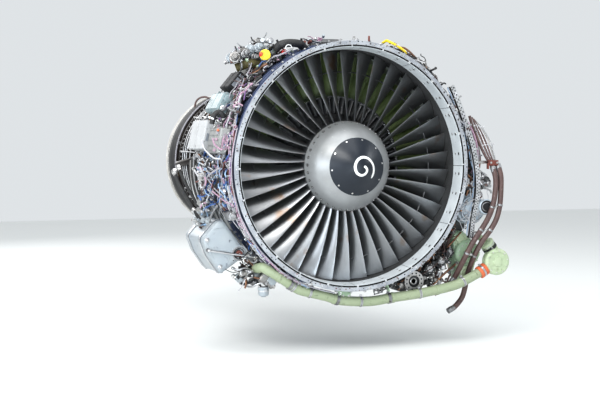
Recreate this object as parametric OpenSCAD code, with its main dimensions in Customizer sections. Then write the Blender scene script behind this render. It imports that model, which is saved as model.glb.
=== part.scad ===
// High-bypass turbofan aircraft engine, bare (no cowls), as it stands in a workshop.
// Row frame: X to the right seen from the front, Y aft along the shaft, Z up.
// The origin is the centre of the fan case front flange.

/* [Fan] */
// Number of fan blades
fan_phase = 2.3;
fan_blades_n = 38; // [30:1:40]
// Fan blade tip radius
fan_tip_r = 761; // [740:1:762]
// Radius of the mid-span shrouds
midspan_r = 620; // [600:5:640]
// Number of outlet guide vanes
ogv_n = 72; // [40:2:80]

/* [Fan case] */
// Outer radius of the front flange
flange_r = 815; // [812:1:818]
// Number of holes in the front flange
flange_holes = 24; // [12:12:24]
// Hole circle radius of the front flange
flange_pcr = 804; // [803:0.5:805]
// Radius of a flange hole
flange_hole_r = 5.5; // [3:0.5:6]

/* [Core] */
// Number of fuel nozzles
nozzle_n = 20; // [16:1:24]
// Number of bolts round a case flange
case_bolts_n = 36; // [24:6:48]
// Number of struts in the turbine rear frame
rear_struts = 12; // [8:1:14]

/* [Gearbox] */
// Teeth on each accessory gear
gear_teeth = 30; // [30:10:30]
// Clock angle of the radial drive shaft, degrees clockwise seen from the front
drive_c = 148.5; // [148:0.5:149]

/* [Hidden] */
$fn = 72;

alu = [0.80, 0.82, 0.83];
steel = [0.62, 0.62, 0.64];
dark = [0.20, 0.19, 0.19];
titan = [0.52, 0.51, 0.50];
green = [0.66, 0.76, 0.60];
slate = [0.34, 0.40, 0.46];
heat = [0.42, 0.34, 0.27];

// gear train: clock angle and radius of each axis, all one pitch diameter apart
gear_d = 160;
gear_R = [915, 940, 960, 975, 985];
function gear_c(i) = i == 0 ? drive_c : gear_c(i - 1)
  - acos((pow(gear_R[i - 1], 2) + pow(gear_R[i], 2) - pow(gear_d, 2)) / (2 * gear_R[i - 1] * gear_R[i]));
function gear_p(i) = [gear_R[i] * sin(gear_c(i)), gear_R[i] * cos(gear_c(i))];
function dir(i) = atan2(gear_p(i + 1)[1] - gear_p(i)[1], gear_p(i + 1)[0] - gear_p(i)[0]);
// tooth angle of gear i in the X-Z plane, so that each gear meshes with the one before it
function gear_a(i) = i == 0 ? 0 : 180 / gear_teeth + 180 + 2 * dir(i - 1) - gear_a(i - 1);

// inner radius of the low pressure turbine case at station y
function lpt_r(y) = y < 2060 ? 340 + (y - 1912) * 122 / 148 : y < 2240 ? 462 + (y - 2060) * 78 / 180 : 540;

// ---- placing ----
// local +Z runs aft
module eng() { rotate([-90, 0, 0]) children(); }
// turned ring from [radius, station] points
module rev(pts) { eng() rotate_extrude() polygon(pts); }
// on the engine's side: clock angle c, radius R, station y; local +Z outward, +Y aft
module at(c, R, y) { translate([0, y, 0]) rotate([0, c, 0]) translate([0, 0, R]) children(); }
// a slab drawn in the X-Z plane between two stations
module slab(y0, y1) { translate([0, y1, 0]) rotate([90, 0, 0]) linear_extrude(y1 - y0) children(); }
// box standing on radius R0
module cbox(c, R0, R1, y0, y1, w) { at(c, R0, y0) translate([-w / 2, 0, 0]) cube([w, y1 - y0, R1 - R0]); }
// round foot from a case's skin out to R1
module foot(c, y, R0, R1, r = 8) { at(c, R0, y) cylinder(h = R1 - R0, r = r); }
// ring sector between two clock angles
module sector(c0, c1, pts) { eng() rotate([0, 0, c0 - 90]) rotate_extrude(angle = c1 - c0) polygon(pts); }
// ring of straight blades or vanes as one star-shaped slab, bored or bounded on its solid side
module star_out(n, rb, r0, r1, w, y0, y1) {
  eng() translate([0, 0, y0]) difference() {
    linear_extrude(y1 - y0) polygon([for (i = [0 : n - 1]) for (k = [[r0, -w], [r1, -w], [r1, w], [r0, w]])
      let (a = i * 360 / n + atan2(k[1] / 2, k[0])) [k[0] * cos(a), k[0] * sin(a)]]);
    translate([0, 0, -1]) cylinder(h = y1 - y0 + 2, r = rb);
  }
}
module star_in(n, rb, r0, r1, w, y0, y1) {
  eng() translate([0, 0, y0]) linear_extrude(y1 - y0) difference() {
    circle(r = rb, $fn = 360);
    polygon([for (i = [0 : n - 1]) for (k = [[r0, -w, 0], [r0, w, 0], [r1, w, 0], [r1, w, 1]])
      let (a = k[2] == 1 ? (i + 1) * 360 / n - atan2(w / 2, r1) : i * 360 / n + atan2(k[1] / 2, k[0]))
      [k[0] * cos(a), k[0] * sin(a)]]);
  }
}
module gear_shape(t) {
  p = gear_d / 2;
  polygon([for (i = [0 : t - 1]) for (k = [[p - 3.4, -0.30], [p + 2.6, -0.14], [p + 2.6, 0.14], [p - 3.4, 0.30]])
    let (a = (i + k[1]) * 360 / t) [k[0] * cos(a), k[0] * sin(a)]]);
}

// ---- tubes swept along a smooth route ----
function crv(p, i, t) =
  let (n = len(p) - 1, a = p[max(i - 1, 0)], b = p[i], c = p[min(i + 1, n)], d = p[min(i + 2, n)])
  0.5 * ((2 * b) + (c - a) * t + (2 * a - 5 * b + 4 * c - d) * t * t + (3 * b - a - 3 * c + d) * t * t * t);
function route(p, m) = [for (i = [0 : len(p) - 2]) for (k = [0 : m - 1]) crv(p, i, k / m), p[len(p) - 1]];
function unit(v) = v / norm(v);
function tang(q, i) = unit(q[min(i + 1, len(q) - 1)] - q[max(i - 1, 0)]);
function side0(t) = unit(cross(t, abs(t[2]) < 0.8 ? [0, 0, 1] : [1, 0, 0]));
function sides(q, i = 0, prev = undef) = i >= len(q) ? [] :
  let (t = tang(q, i), s = prev == undef ? side0(t) : unit(prev - (prev * t) * t))
  concat([s], sides(q, i + 1, s));
module pipe(p, r, m = 3, n = 8) {
  q = route(p, m); s = sides(q); L = len(q);
  polyhedron(points = [for (i = [0 : L - 1]) let (t = tang(q, i), u = s[i], v = cross(t, u))
      for (k = [0 : n - 1]) q[i] + r * (cos(k * 360 / n) * u + sin(k * 360 / n) * v)],
    faces = concat([[for (k = [0 : n - 1]) k]], [[for (k = [n - 1 : -1 : 0]) (L - 1) * n + k]],
      [for (i = [0 : L - 2]) for (k = [0 : n - 1]) [i * n + k, (i + 1) * n + k, (i + 1) * n + (k + 1) % n]],
      [for (i = [0 : L - 2]) for (k = [0 : n - 1]) [i * n + k, (i + 1) * n + (k + 1) % n, i * n + (k + 1) % n]]));
}
function cp(c, R, y) = [R * sin(c), y, R * cos(c)];

// ================= fan case =================
module fan_inlet_case() color(slate) difference() {
  rev([[786, 0], [flange_r, 0], [flange_r, 12], [795, 14], [795, 60], [806, 66], [806, 330], [793, 336],
    [793, 420], [822, 420], [822, 430], [783, 430], [783, 20], [786, 14]]);
  for (i = [0 : flange_holes - 1]) at(i * 360 / flange_holes + 7.5, 0, -1) translate([0, 0, flange_pcr])
    rotate([-90, 0, 0]) cylinder(h = 20, r = flange_hole_r);
}
module inlet_liner() color(alu) {
  rev([[775, 0], [778, 0], [778, 12], [776, 113], [765, 113], [771, 40]]);
  for (i = [0 : flange_holes - 1]) sector(i * 360 / flange_holes - 1.5, i * 360 / flange_holes + 1.5,
    [[777, 1], [785.8, 1], [785.8, 6], [777, 6]]);
}
module fan_shroud_ring() color(dark) rev([[765, 114], [782.8, 114], [782.8, 330], [765, 330]]);
module aft_acoustic_liner() color(alu) rev([[768, 331], [782.8, 331], [782.8, 429.8], [776, 429.8]]);
module case_flange_bolts() color(steel) for (i = [0 : case_bolts_n - 1])
  at(i * 360 / case_bolts_n + 5, 808, 412) rotate([-90, 0, 0]) cylinder(h = 7.9, r = 7, $fn = 6);

// ================= fan frame and stationary fan parts =================
module fan_frame() color(alu) difference() {
  union() {
    rev([[776, 430], [822, 430], [822, 440], [800, 444], [800, 836], [818, 838], [818, 850], [776, 850]]);
    rev([[440, 640], [470, 640], [455, 850], [447, 850], [461, 648], [449, 648], [264, 880], [256, 880]]);
    rev([[344, 640], [352, 640], [203, 878], [195, 878]]);
    rev([[118, 690], [313, 690], [307, 700], [130, 700], [130, 760], [118, 760]]);
    for (i = [0 : 11]) cbox(drive_c + 30 * i, 250, 780, 745, 835, i == 0 ? 56 : 20);
    for (c = [90, 270]) at(c, 790, 780) cylinder(h = 55, r = 52);
  }
  at(drive_c, 200, 790) cylinder(h = 700, r = 20);
  for (c = [90, 270]) at(c, 805, 780) cylinder(h = 60, r = 25);
}
module outlet_guide_vanes() color(green) {
  star_out(ogv_n, 478.4, 481, 775.4, 5, 530, 610);
}
module splitter_case() color(alu)
  rev([[470, 378], [474, 390], [478, 450], [478, 639.6], [474, 639.6], [474, 460], [464, 440], [462, 590],
    [458, 590], [458, 440], [466.6, 426], [467.4, 390]]);
module booster_vanes() color(titan) {
  star_in(48, 466, 352, 463, 3, 396, 424);
  for (k = [0 : 2]) star_in(40, 457.6, 356, 454, 4, 462 + 45 * k, 474 + 45 * k);
}
module booster_bleed_ring() color(steel) rev([[465, 596], [470, 596], [470, 636], [465, 636]]);

// ================= low pressure rotor =================
module spinner_front_cone() color(dark) rev([[0, -130], [40, -124], [65, -111], [98, -89], [130, -76 + 6], [160, -52],
  [189, -26], [184, -22], [156, -46], [127, -64], [94, -83], [60, -104], [38, -117], [0, -123]]);
module spinner_rear_cone() color(alu) difference() {
  rev([[189.3, -26], [222, 8], [254, 44], [281, 94], [299, 144], [299, 149.6], [200, 149.6], [200, 144], [292, 143], [275, 97],
    [249, 48], [217, 13], [184.3, -21.6]]);
  screw_bodies();
}
module screw_bodies() {
  for (i = [0 : 35]) at(i * 10, 0, 0) translate([0, 124, 291.2]) rotate([20, 0, 0]) translate([0, 0, -3]) cylinder(h = 4.4, r = 4);
}
module spinner_screws() color(steel) screw_bodies();
module fan_disk() color(titan) difference() {
  rev([[60.2, 190], [110, 190], [130, 205], [250, 215], [262, 150], [296, 150], [299, 292], [262, 292], [250, 245],
    [130, 250], [110, 262], [60.2, 262]]);
  for (i = [0 : fan_blades_n - 1]) at(i * 360 / fan_blades_n + fan_phase, 270, 149) translate([-9, 0, 0]) cube([18, 144, 40]);
}
// blade sections: radius, half chord, stagger from the axis, half thickness, station of mid chord, lean
function blade_sec(r, h, s, t, y, n = 0) = [for (k = n == 1
    ? [[-h, -8.8], [-h * 0.3, -8.8], [h * 0.4, -8.8], [h, -8.8], [h, 8.8], [h * 0.4, 8.8], [-h * 0.3, 8.8], [-h, 8.8]]
    : [[-h, -1.8], [-h * 0.3, -t], [h * 0.4, -t * 0.9], [h, -1.8], [h, 1.8], [h * 0.4, t * 0.8], [-h * 0.3, t * 0.8], [-h, 1.8]])
  let (b = k[1] - (n == 1 ? 0 : 0.10 * h * (1 - pow(k[0] / h, 2))))
  [n == 1 ? k[1] : k[0] * sin(s) + b * cos(s), y + k[0] * cos(s) - (n == 1 ? 0 : b * sin(s)), r]];
module blade() {
  secs = [blade_sec(271, 70, 0, 9, 221, 1), blade_sec(299.6, 70, 0, 9, 221, 1), blade_sec(314, 60, 7, 7, 216),
    blade_sec(400, 61, 20, 6, 218), blade_sec(500, 64, 36, 5, 221), blade_sec(620, 70, 50, 4.2, 223),
    blade_sec(700, 74, 57, 3.8, 224), blade_sec(fan_tip_r, 76, 61, 3.6, 225)];
  m = 8; L = len(secs);
  polyhedron(points = [for (s = secs) for (p = s) p],
    faces = concat([[for (k = [m - 1 : -1 : 0]) k]], [[for (k = [0 : m - 1]) (L - 1) * m + k]],
      [for (i = [0 : L - 2]) for (k = [0 : m - 1]) [i * m + k, (i + 1) * m + (k + 1) % m, (i + 1) * m + k]],
      [for (i = [0 : L - 2]) for (k = [0 : m - 1]) [i * m + k, i * m + (k + 1) % m, (i + 1) * m + (k + 1) % m]]));
}
module fan_blades() color(titan) for (i = [0 : fan_blades_n - 1]) rotate([0, i * 360 / fan_blades_n + fan_phase, 0]) union() {
  blade();
  translate([-(midspan_r - 5) * tan(180 / fan_blades_n) + 0.5, 208, midspan_r - 5])
    cube([2 * (midspan_r - 5) * tan(180 / fan_blades_n) - 1, 30, 10]);
}
module booster_rotor() color(titan) {
  rev([[285, 293], [299, 293], [345, 384], [350, 430], [350, 598], [342, 598], [342, 430], [337, 388], [293, 301], [285, 301]]);
  rev([[110, 262.4], [120, 262.4], [286, 300], [286, 308], [110, 270]]);
  for (k = [0 : 2]) star_out(40, 346, 348, 451, 5, 438 + 45 * k, 456 + 45 * k);
}
module low_pressure_shaft() color(steel) {
  rev([[38, 195], [60, 195], [60, 600], [42, 640], [42, 2500], [30, 2500], [30, 640], [38, 600]]);
}
module low_pressure_turbine_rotor() color(heat) {
  rev([[42.2, 2320], [60, 2320], [60, 2330], [285, 2200], [285, 2064], [295, 2064], [305, 2372], [297, 2372], [290, 2210],
    [60, 2345], [60, 2360], [42.2, 2360]]);
  for (k = [0 : 3]) star_out(36, 293 + 2.4 * k, 296 + 2.4 * k, lpt_r(2068 + 88 * k) - 4, 7, 2068 + 88 * k, 2098 + 88 * k);
}
module main_bearings() color(steel) {
  rev([[60.7, 400], [110, 400], [110, 424], [60.7, 424]]);
  rev([[110.2, 396], [118, 396], [118, 689.8], [110.2, 689.8]]);
  rev([[56.7, 850], [80, 850], [80, 868], [56.7, 868]]);
  rev([[80.2, 840], [90, 840], [90, 858], [195.8, 875.6], [194.4, 877.6], [86, 868], [80.2, 868]]);
  rev([[42.7, 2462], [61.8, 2462], [61.8, 2482], [42.7, 2482]]);
}

// ================= high pressure rotor =================
module high_pressure_compressor_rotor() color(titan) {
  rev([[48, 816.6], [92, 816.6], [92, 832], [56, 834], [56, 884], [190, 896], [214, 1340], [204, 1340], [181, 905], [48, 893]]);
  for (k = [0 : 5]) star_out(30, 188 + 3.9 * k, 191 + 3.9 * k, 251 - 2.7 * k, 5, 902 + 75 * k, 926 + 75 * k);
}
module high_pressure_turbine_rotor() color(heat) {
  rev([[204, 1340.2], [214, 1340.2], [210, 1352], [92, 1440], [92, 1838], [250, 1846], [250, 1876], [110, 1882], [80, 1882],
    [80, 1436], [204, 1346]]);
  star_out(64, 246, 252, 321, 6, 1848, 1874);
}
module compressor_case() color(titan) difference() {
  rev([[257, 881], [292, 881], [292, 891], [267, 893], [252, 1335], [290, 1335], [290, 1345], [242, 1345]]);
  for (i = [0 : 17]) at(i * 20 + 10, 200, 936) cylinder(h = 100, r = 6);
}
module compressor_vanes() color(titan) for (k = [0 : 4])
  star_in(30, 253 - 2.7 * k, 219 + 3 * k, 249 - 2.7 * k, 4, 938 + 75 * k, 962 + 75 * k);
module vane_unison_ring() color(alu) {
  rev([[292, 964], [302, 964], [302, 978], [292, 978]]);
  at(300, 300, 966) translate([-9, 0, 0]) cube([18, 10, 46]);
}
module vane_actuator() color(steel) difference() {
  union() {
    at(300, 332, 971) translate([-190, 0, 0]) rotate([0, 90, 0]) cylinder(h = 110, r = 20);
    at(300, 262, 932) translate([-160, 0, 0]) cube([50, 30, 72]);
  }
  at(300, 332, 971) translate([-180, 0, 0]) rotate([0, 90, 0]) cylinder(h = 120, r = 7);
  rev([[0, 800], [273, 800], [273, 1300], [0, 1300]]);
}
module vane_actuator_rod() color(steel)
  at(300, 332, 971) translate([-150, 0, 0]) rotate([0, 90, 0]) cylinder(h = 140, r = 6.6);

// ================= combustor and turbine =================
module combustion_case() color(heat) difference() {
  rev([[252, 1345.2], [290, 1345.2], [290, 1356], [262, 1358], [345, 1470], [345, 1800], [338, 1830], [338, 1898], [372, 1902],
    [372, 1912], [330, 1912], [330, 1830], [339, 1798], [339, 1472], [252, 1358]]);
  for (i = [0 : nozzle_n - 1]) at(i * 360 / nozzle_n, 300, 1500) cylinder(h = 80, r = 8);
}
module combustor_liner() color(heat) rev([[205, 1765], [205, 1530], [235, 1515], [290, 1515], [322, 1530], [322, 1765], [319, 1765],
  [319, 1532], [289, 1518], [236, 1518], [208, 1532], [208, 1765]]);
module fuel_nozzles() color(steel) for (i = [0 : nozzle_n - 1]) at(i * 360 / nozzle_n, 0, 1500) {
  translate([0, 0, 262]) cylinder(h = 110, r = 7);
  translate([0, 0, 345.2]) cylinder(h = 6, r = 15);
  translate([0, 0, 262]) rotate([-90, 0, 0]) cylinder(h = 15, r = 7);
}
module fuel_manifold() color(steel) eng() translate([0, 0, 1500]) rotate_extrude() translate([379.6, 0]) circle(r = 7);
module turbine_nozzle_ring() color(heat) {
  rev([[250, 1782], [256, 1782], [256, 1824], [250, 1824]]);
  star_out(40, 253, 255, 328, 7, 1790, 1818);
}
module low_pressure_turbine_case() color(heat)
  rev([[338, 1912.2], [372, 1912.2], [372, 1922], [356, 1924], [470, 2058], [548, 2238], [548, 2398], [576, 2402], [576, 2411.8],
    [540, 2411.8], [540, 2240], [462, 2060]]);
module low_pressure_turbine_vanes() color(heat) for (k = [0 : 3])
  star_in(32, lpt_r(2036 + 88 * k) - 1, 300 + 3 * k, lpt_r(2036 + 88 * k) - 5, 6, 2036 + 88 * k, 2056 + 88 * k);
module turbine_cooling_tubes() color(steel) {
  for (k = [0 : 5]) eng() translate([0, 0, 2080 + 60 * k]) rotate_extrude()
    translate([lpt_r(2080 + 60 * k) + (k < 3 ? 18 : 14.4), 0]) circle(r = 5.5);
  for (c = [60, 240]) at(c, 0, 0) pipe([[0, 1990, 480], [0, 2080, 520], [0, 2180, 570], [0, 2240, 577], [0, 2370, 577]], 9);
}
module turbine_rear_frame() color(steel) {
  rev([[540, 2412], [576, 2412], [576, 2422], [552, 2424], [552, 2550], [576, 2552], [576, 2562], [540, 2562]]);
  rev([[170, 2420], [182, 2420], [182, 2541], [170, 2541]]);
  rev([[62, 2440], [174, 2440], [174, 2450], [74, 2450], [74, 2500], [62, 2500]]);
  for (i = [0 : rear_struts - 1]) cbox(i * 360 / rear_struts + 15, 178, 545, 2440, 2530, 12);
}
module exhaust_nozzle() color(alu)
  rev([[548, 2562.2], [580, 2562.2], [580, 2572], [562, 2576], [580, 2700], [578, 2838], [583, 2842], [583, 2850], [572, 2850],
    [572, 2700], [554, 2575], [548, 2572]]);
module exhaust_plug() color(heat) rev([[150, 2541.2], [182, 2541.2], [182, 2548], [150, 2680], [96, 2790], [40, 2838], [0, 2846],
  [0, 2840], [37, 2832], [92, 2786], [145, 2678], [174, 2550], [150, 2550]]);

// ================= accessory drive =================
module radial_drive_shaft() color(steel) at(drive_c, 0, 790) {
  translate([0, 0, 60]) cylinder(h = 26, r = 26);
  translate([0, 0, 60]) cylinder(h = 840, r = 13);
  translate([0, 0, 876]) cylinder(h = 26, r = 23.5);
}
module transfer_gearbox() color(alu) difference() {
  union() {
    at(drive_c, 833, 738) translate([-50, 0, 0]) cube([100, 98, 132]);
    at(drive_c, 915, 412.4) rotate([-90, 0, 0]) cylinder(h = 330, r = 27);
    at(drive_c, 800.6, 790) cylinder(h = 40, r = 29);
    for (y = [480, 650]) foot(drive_c, y, 800.4, 895, 14);
  }
  at(drive_c, 841, 746) translate([-42, 0, 0]) cube([84, 82, 116]);
  at(drive_c, 915, 400) rotate([-90, 0, 0]) cylinder(h = 360, r = 20);
  at(drive_c, 790, 790) cylinder(h = 70, r = 20);
}
module gear_outline(g) {
  for (i = [0 : 4]) translate(gear_p(i)) circle(r = 82.6 + g);
  for (i = [0 : 3]) translate(gear_p(i)) rotate(dir(i)) translate([0, -60 - g]) square([gear_d, 120 + 2 * g]);
}
module accessory_gearbox() color(alu) difference() {
  union() {
    slab(320, 412) gear_outline(9);
    slab(130, 322) translate(gear_p(0)) circle(r = 46);
    slab(118, 134) translate(gear_p(0)) circle(r = 72);
    slab(306, 321) for (i = [1, 4]) translate(gear_p(i)) circle(r = 60);
    for (c = [112, 126, 140]) foot(c, 376, 793.4, 900, 12);
  }
  slab(330, 402) gear_outline(1);
  for (i = [0 : 4]) slab(260, i == 0 || i == 2 ? 420 : 380) translate(gear_p(i)) circle(r = 15);
  slab(100, 300) translate(gear_p(0)) circle(r = 15);
  slab(110, 134) translate(gear_p(0)) circle(r = 39);
  for (k = [0 : 11]) slab(110, 140) translate(gear_p(0)) rotate(30 * k + 15) translate([56, 0]) circle(r = 4);
}
module gear(i, y0, y1) slab(y0, y1) translate(gear_p(i)) rotate(gear_a(i)) gear_shape(gear_teeth);
module axle(i, y0, y1, r = 14.6) slab(y0, y1) translate(gear_p(i)) circle(r = r);
module input_gear() color(steel) {
  gear(0, 350, 372); axle(0, 136, 765.4); slab(752, 765.4) translate(gear_p(0)) circle(r = 36);
}
module idler_gear() color(steel) { gear(1, 350, 372); axle(1, 322, 378); }
module pump_gear() color(steel) { gear(2, 350, 372); axle(2, 332, 440); }
module generator_gear() color(steel) { gear(3, 350, 372); axle(3, 290, 378); }
module starter_gear() color(steel) { gear(4, 350, 372); axle(4, 290, 378); }

module starter() color(alu) difference() {
  union() {
    slab(90, 260) translate([908, -300]) circle(r = 92);
    slab(130, 220) translate([908, -300]) circle(r = 104);
    slab(258, 305.6) translate(gear_p(4)) circle(r = 60);
    slab(60, 100) translate([986, -282]) circle(r = 52);
  }
  slab(50, 96) translate([986, -282]) circle(r = 43);
  slab(270, 310) translate(gear_p(4)) circle(r = 20);
}
module generator_housing() color(green) difference() {
  union() {
    slab(190, 310) hull() { translate([905, -606]) circle(r = 94); translate([862, -512]) circle(r = 59); translate([892, -735]) circle(r = 70); }
    slab(158, 191) translate([905, -606]) circle(r = 88);
    slab(200, 290) translate([960, -640]) square([60, 84]);
    slab(300, 319.6) translate(gear_p(3)) circle(r = 58);
  }
  slab(270, 330) translate(gear_p(3)) circle(r = 20);
}
module fuel_control() color(alu) difference() {
  union() {
    slab(412.4, 470) translate(gear_p(2)) circle(r = 62);
    slab(469, 640) translate(gear_p(2) + [-52, -60]) square([150, 120]);
    slab(500, 600) translate(gear_p(2) + [97, -30]) square([24, 60]);
    for (y = [500, 600]) foot(gear_c(2), y, 800.4, 905, 12);
  }
  slab(400, 450) translate(gear_p(2)) circle(r = 20);
  translate([gear_p(2)[0] + 80, 550, gear_p(2)[1]]) rotate([0, 90, 0]) cylinder(h = 60, r = 8.06);
}
module fuel_control_lever() color(steel) translate([gear_p(2)[0] + 90, 550, gear_p(2)[1]]) difference() {
  union() {
    rotate([0, 90, 0]) cylinder(h = 44, r = 8);
    translate([34, 0, 0]) rotate([0, 90, 0]) cylinder(h = 8, r = 14);
    translate([34, -9, 0]) cube([8, 18, 80]);
    translate([34, 0, 80]) rotate([0, 90, 0]) cylinder(h = 8, r = 9);
  }
  translate([30, 0, 80]) rotate([0, 90, 0]) cylinder(h = 20, r = 4);
}

// ================= oil system =================
module oil_tank() color(alu) difference() {
  union() {
    sector(229.4, 248, [[878, 200], [1078, 200], [1094, 216], [1094, 662], [1078, 678], [878, 678]]);
    for (c = [233, 244]) { foot(c, 260, 806.4, 882, 16); foot(c, 560, 800.4, 882, 16); }
  }
  sector(230.4, 247, [[886, 208], [1074, 208], [1086, 220], [1086, 658], [1074, 670], [886, 670]]);
  translate([-727, 180, -563]) rotate([-90, 0, 0]) cylinder(h = 24, r = 26);
  translate([-727, 180, -563]) rotate([-90, 0, 0]) cylinder(h = 40, r = 17.1);
}
module oil_tank_cap() color([0.55, 0.25, 0.2]) union() {
  translate([-727, 188, -563]) rotate([-90, 0, 0]) cylinder(h = 26, r = 17);
  translate([-727 - 22, 186, -566]) cube([44, 6, 6]);
}
module oil_filter() color(alu) {
  translate([-578, 150, -788]) cylinder(h = 50, r = 36);
  translate([-578, 150, -836]) cylinder(h = 50, r = 30);
  translate([-578, 150, -844]) cylinder(h = 12, r = 16);
  cbox(217, 830, 958, 120, 182, 60);
  foot(215, 140, 806.4, 840, 14);
}

// ================= pipes, hoses, wiring =================
duct = [[-547, 286, -690], [-560, 246, -678], [-612, 190, -660], [-614, 140, -655], [-600, 100, -647], [-568, 78, -665], [-492, 72, -712], [-414, 72, -765], [-351, 72, -800], [-256, 72, -826], [-176, 72, -847], [-62, 72, -880], [133, 72, -894], [299, 72, -876], [467, 72, -860], [637, 72, -836], [766, 72, -810], [844, 72, -779], [909, 72, -749], [962, 72, -724]];
hose_a = [[1033, 60, 3], [1043, 30, -90], [1038, 28, -192], [1018, 28, -285], [983, 28, -363], [932, 28, -440], [881, 30, -509], [832, 36, -594], [806, 85, -691], [789, 135, -766], [772, 160, -807]];
hose_b = [[1073, 60, 9], [1081, 30, -66], [1083, 28, -154], [1075, 28, -271], [1049, 26, -364], [1000, 24, -442], [942, 30, -518], [902, 62, -614], [896, 128, -715], [890, 152, -788], [877, 158, -860], [854, 158, -918], [801, 156, -973], [751, 152, -998]];
module lower_air_duct() color(green) {
  pipe(duct, 32, 3, 12);
  translate([969, 72, -720]) rotate([0, 58, 0]) cylinder(h = 56, r = 42, center = true);
  translate([1070, 70, -660]) rotate([90, 0, 0]) cylinder(h = 60, r = 92, center = true);
  translate([1042, 108, -566]) rotate([0, -38, 0]) cylinder(h = 110, r = 48, center = true);
}
module pipe_clamps() color([0.8, 0.35, 0.2]) {
  for (k = [[162, 888.6], [186, 842.2], [208, 836.6]]) foot(k[0], 72, 816, k[1], 9);
}
module fuel_hoses() color(heat) { pipe(hose_a, 18, 3, 10); pipe(hose_b, 18, 3, 10); }
module wiring_and_tubes() color([0.7, 0.7, 0.68]) {
  pipe([cp(312, 850, 380), cp(304, 838, 290), cp(296, 831, 180), cp(289, 829, 98), cp(279, 829, 78), cp(270, 829, 75), cp(255, 829, 75), cp(240, 829, 75)], 8);
  pipe([cp(266, 905, 640), cp(262, 902, 650), cp(256, 898, 690), cp(250, 890, 720)], 10);
  pipe([cp(57, 880, 120), cp(66, 884, 120), cp(76, 896, 120), cp(88, 905, 120), cp(97, 905, 146), cp(100, 880, 170)], 9);
  for (k = [0 : 3]) pipe([cp(64, 838, 150 + 40 * k), cp(78, 842, 150 + 40 * k), cp(92, 842, 160 + 40 * k), cp(100, 836, 170 + 40 * k)], 6);
  for (k = [0 : 3]) pipe([cp(294, 825, 880 + 26 * k), cp(284, 830, 885 + 26 * k), cp(274, 828, 880 + 26 * k)], 7);
}
module control_boxes() color([0.85, 0.85, 0.82]) {
  cbox(283, 838, 930, 400, 760, 200);
  for (c = [279, 287]) for (y = [460, 700]) foot(c, y, 800.4, 850, 9);
  cbox(281, 832, 900, 110, 370, 170);
  for (c = [278, 284]) for (y = [160, 300]) foot(c, y, 806.4, 842, 9);
  cbox(298, 836, 920, 330, 640, 150);
  for (c = [295, 301]) for (y = [480, 600]) foot(c, y, 800.4, 850, 9);
  cbox(310, 834, 900, 430, 640, 140);
  for (c = [308, 312]) for (y = [480, 600]) foot(c, y, 800.4, 850, 9);
}
module valve_group() color(steel) {
  cbox(322, 830, 920, 470, 680, 120);
  foot(322, 520, 800.4, 840, 16); foot(322, 640, 800.4, 840, 16);
  at(322, 940, 520) rotate([0, 90, 0]) cylinder(h = 150, r = 34, center = true);
  at(330, 880, 330) rotate([0, 90, 0]) cylinder(h = 60, r = 30, center = true);
  foot(330, 354, 793.4, 874, 12);
  at(329, 905, 310) cylinder(h = 50, r = 16);
  cbox(218, 836, 920, 300, 400, 110);
  foot(218, 360, 793.4, 845, 14);
  cbox(249, 832, 900, 90, 180, 60);
  foot(249, 130, 806.4, 840, 12);
  cbox(40, 830, 890, 130, 290, 130);
  foot(38, 200, 806.4, 840, 12); foot(42, 200, 806.4, 840, 12);
}

// ================= engine mounts =================
module forward_mount() color(steel) difference() {
  union() {
    cbox(0, 801, 850, 600, 760, 180);
    cbox(0, 848, 870, 580, 780, 220);
  }
  for (x = [-80, 80]) for (y = [610, 750]) translate([x, y, 840]) cylinder(h = 60, r = 11);
}
module aft_mount() color(steel) difference() {
  union() {
    cbox(0, 552.4, 580, 2450, 2530, 120);
    for (x = [-45, 25]) translate([x, 2460, 578]) cube([20, 60, 70]);
  }
  translate([-60, 2490, 622]) rotate([0, 90, 0]) cylinder(h = 120, r = 14);
}

fan_inlet_case();
inlet_liner();
fan_shroud_ring();
aft_acoustic_liner();
case_flange_bolts();
fan_frame();
outlet_guide_vanes();
splitter_case();
booster_vanes();
booster_bleed_ring();
spinner_front_cone();
spinner_rear_cone();
spinner_screws();
fan_disk();
fan_blades();
booster_rotor();
low_pressure_shaft();
low_pressure_turbine_rotor();
main_bearings();
high_pressure_compressor_rotor();
high_pressure_turbine_rotor();
compressor_case();
compressor_vanes();
vane_unison_ring();
vane_actuator();
vane_actuator_rod();
combustion_case();
combustor_liner();
fuel_nozzles();
fuel_manifold();
turbine_nozzle_ring();
low_pressure_turbine_case();
low_pressure_turbine_vanes();
turbine_cooling_tubes();
turbine_rear_frame();
exhaust_nozzle();
exhaust_plug();
radial_drive_shaft();
transfer_gearbox();
accessory_gearbox();
input_gear();
idler_gear();
pump_gear();
generator_gear();
starter_gear();
starter();
generator_housing();
fuel_control();
fuel_control_lever();
oil_tank();
oil_tank_cap();
oil_filter();
lower_air_duct();
fuel_hoses();
wiring_and_tubes();
control_boxes();
valve_group();
pipe_clamps();
forward_mount();
aft_mount();
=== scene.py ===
import math
import random

import bmesh
import bpy
import numpy as np
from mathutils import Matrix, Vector


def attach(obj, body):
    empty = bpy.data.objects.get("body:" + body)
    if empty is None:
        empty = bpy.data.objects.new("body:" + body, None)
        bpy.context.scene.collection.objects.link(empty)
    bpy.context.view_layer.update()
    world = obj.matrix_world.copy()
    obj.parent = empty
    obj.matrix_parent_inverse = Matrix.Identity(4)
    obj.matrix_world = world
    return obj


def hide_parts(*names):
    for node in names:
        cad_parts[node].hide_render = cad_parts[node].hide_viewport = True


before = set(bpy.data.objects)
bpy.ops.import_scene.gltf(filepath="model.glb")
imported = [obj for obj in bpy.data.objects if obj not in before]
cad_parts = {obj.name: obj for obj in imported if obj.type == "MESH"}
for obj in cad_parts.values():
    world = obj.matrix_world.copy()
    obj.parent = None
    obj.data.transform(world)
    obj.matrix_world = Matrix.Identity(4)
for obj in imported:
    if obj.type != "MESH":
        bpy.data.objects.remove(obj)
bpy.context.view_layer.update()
scene = bpy.context.scene

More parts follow.
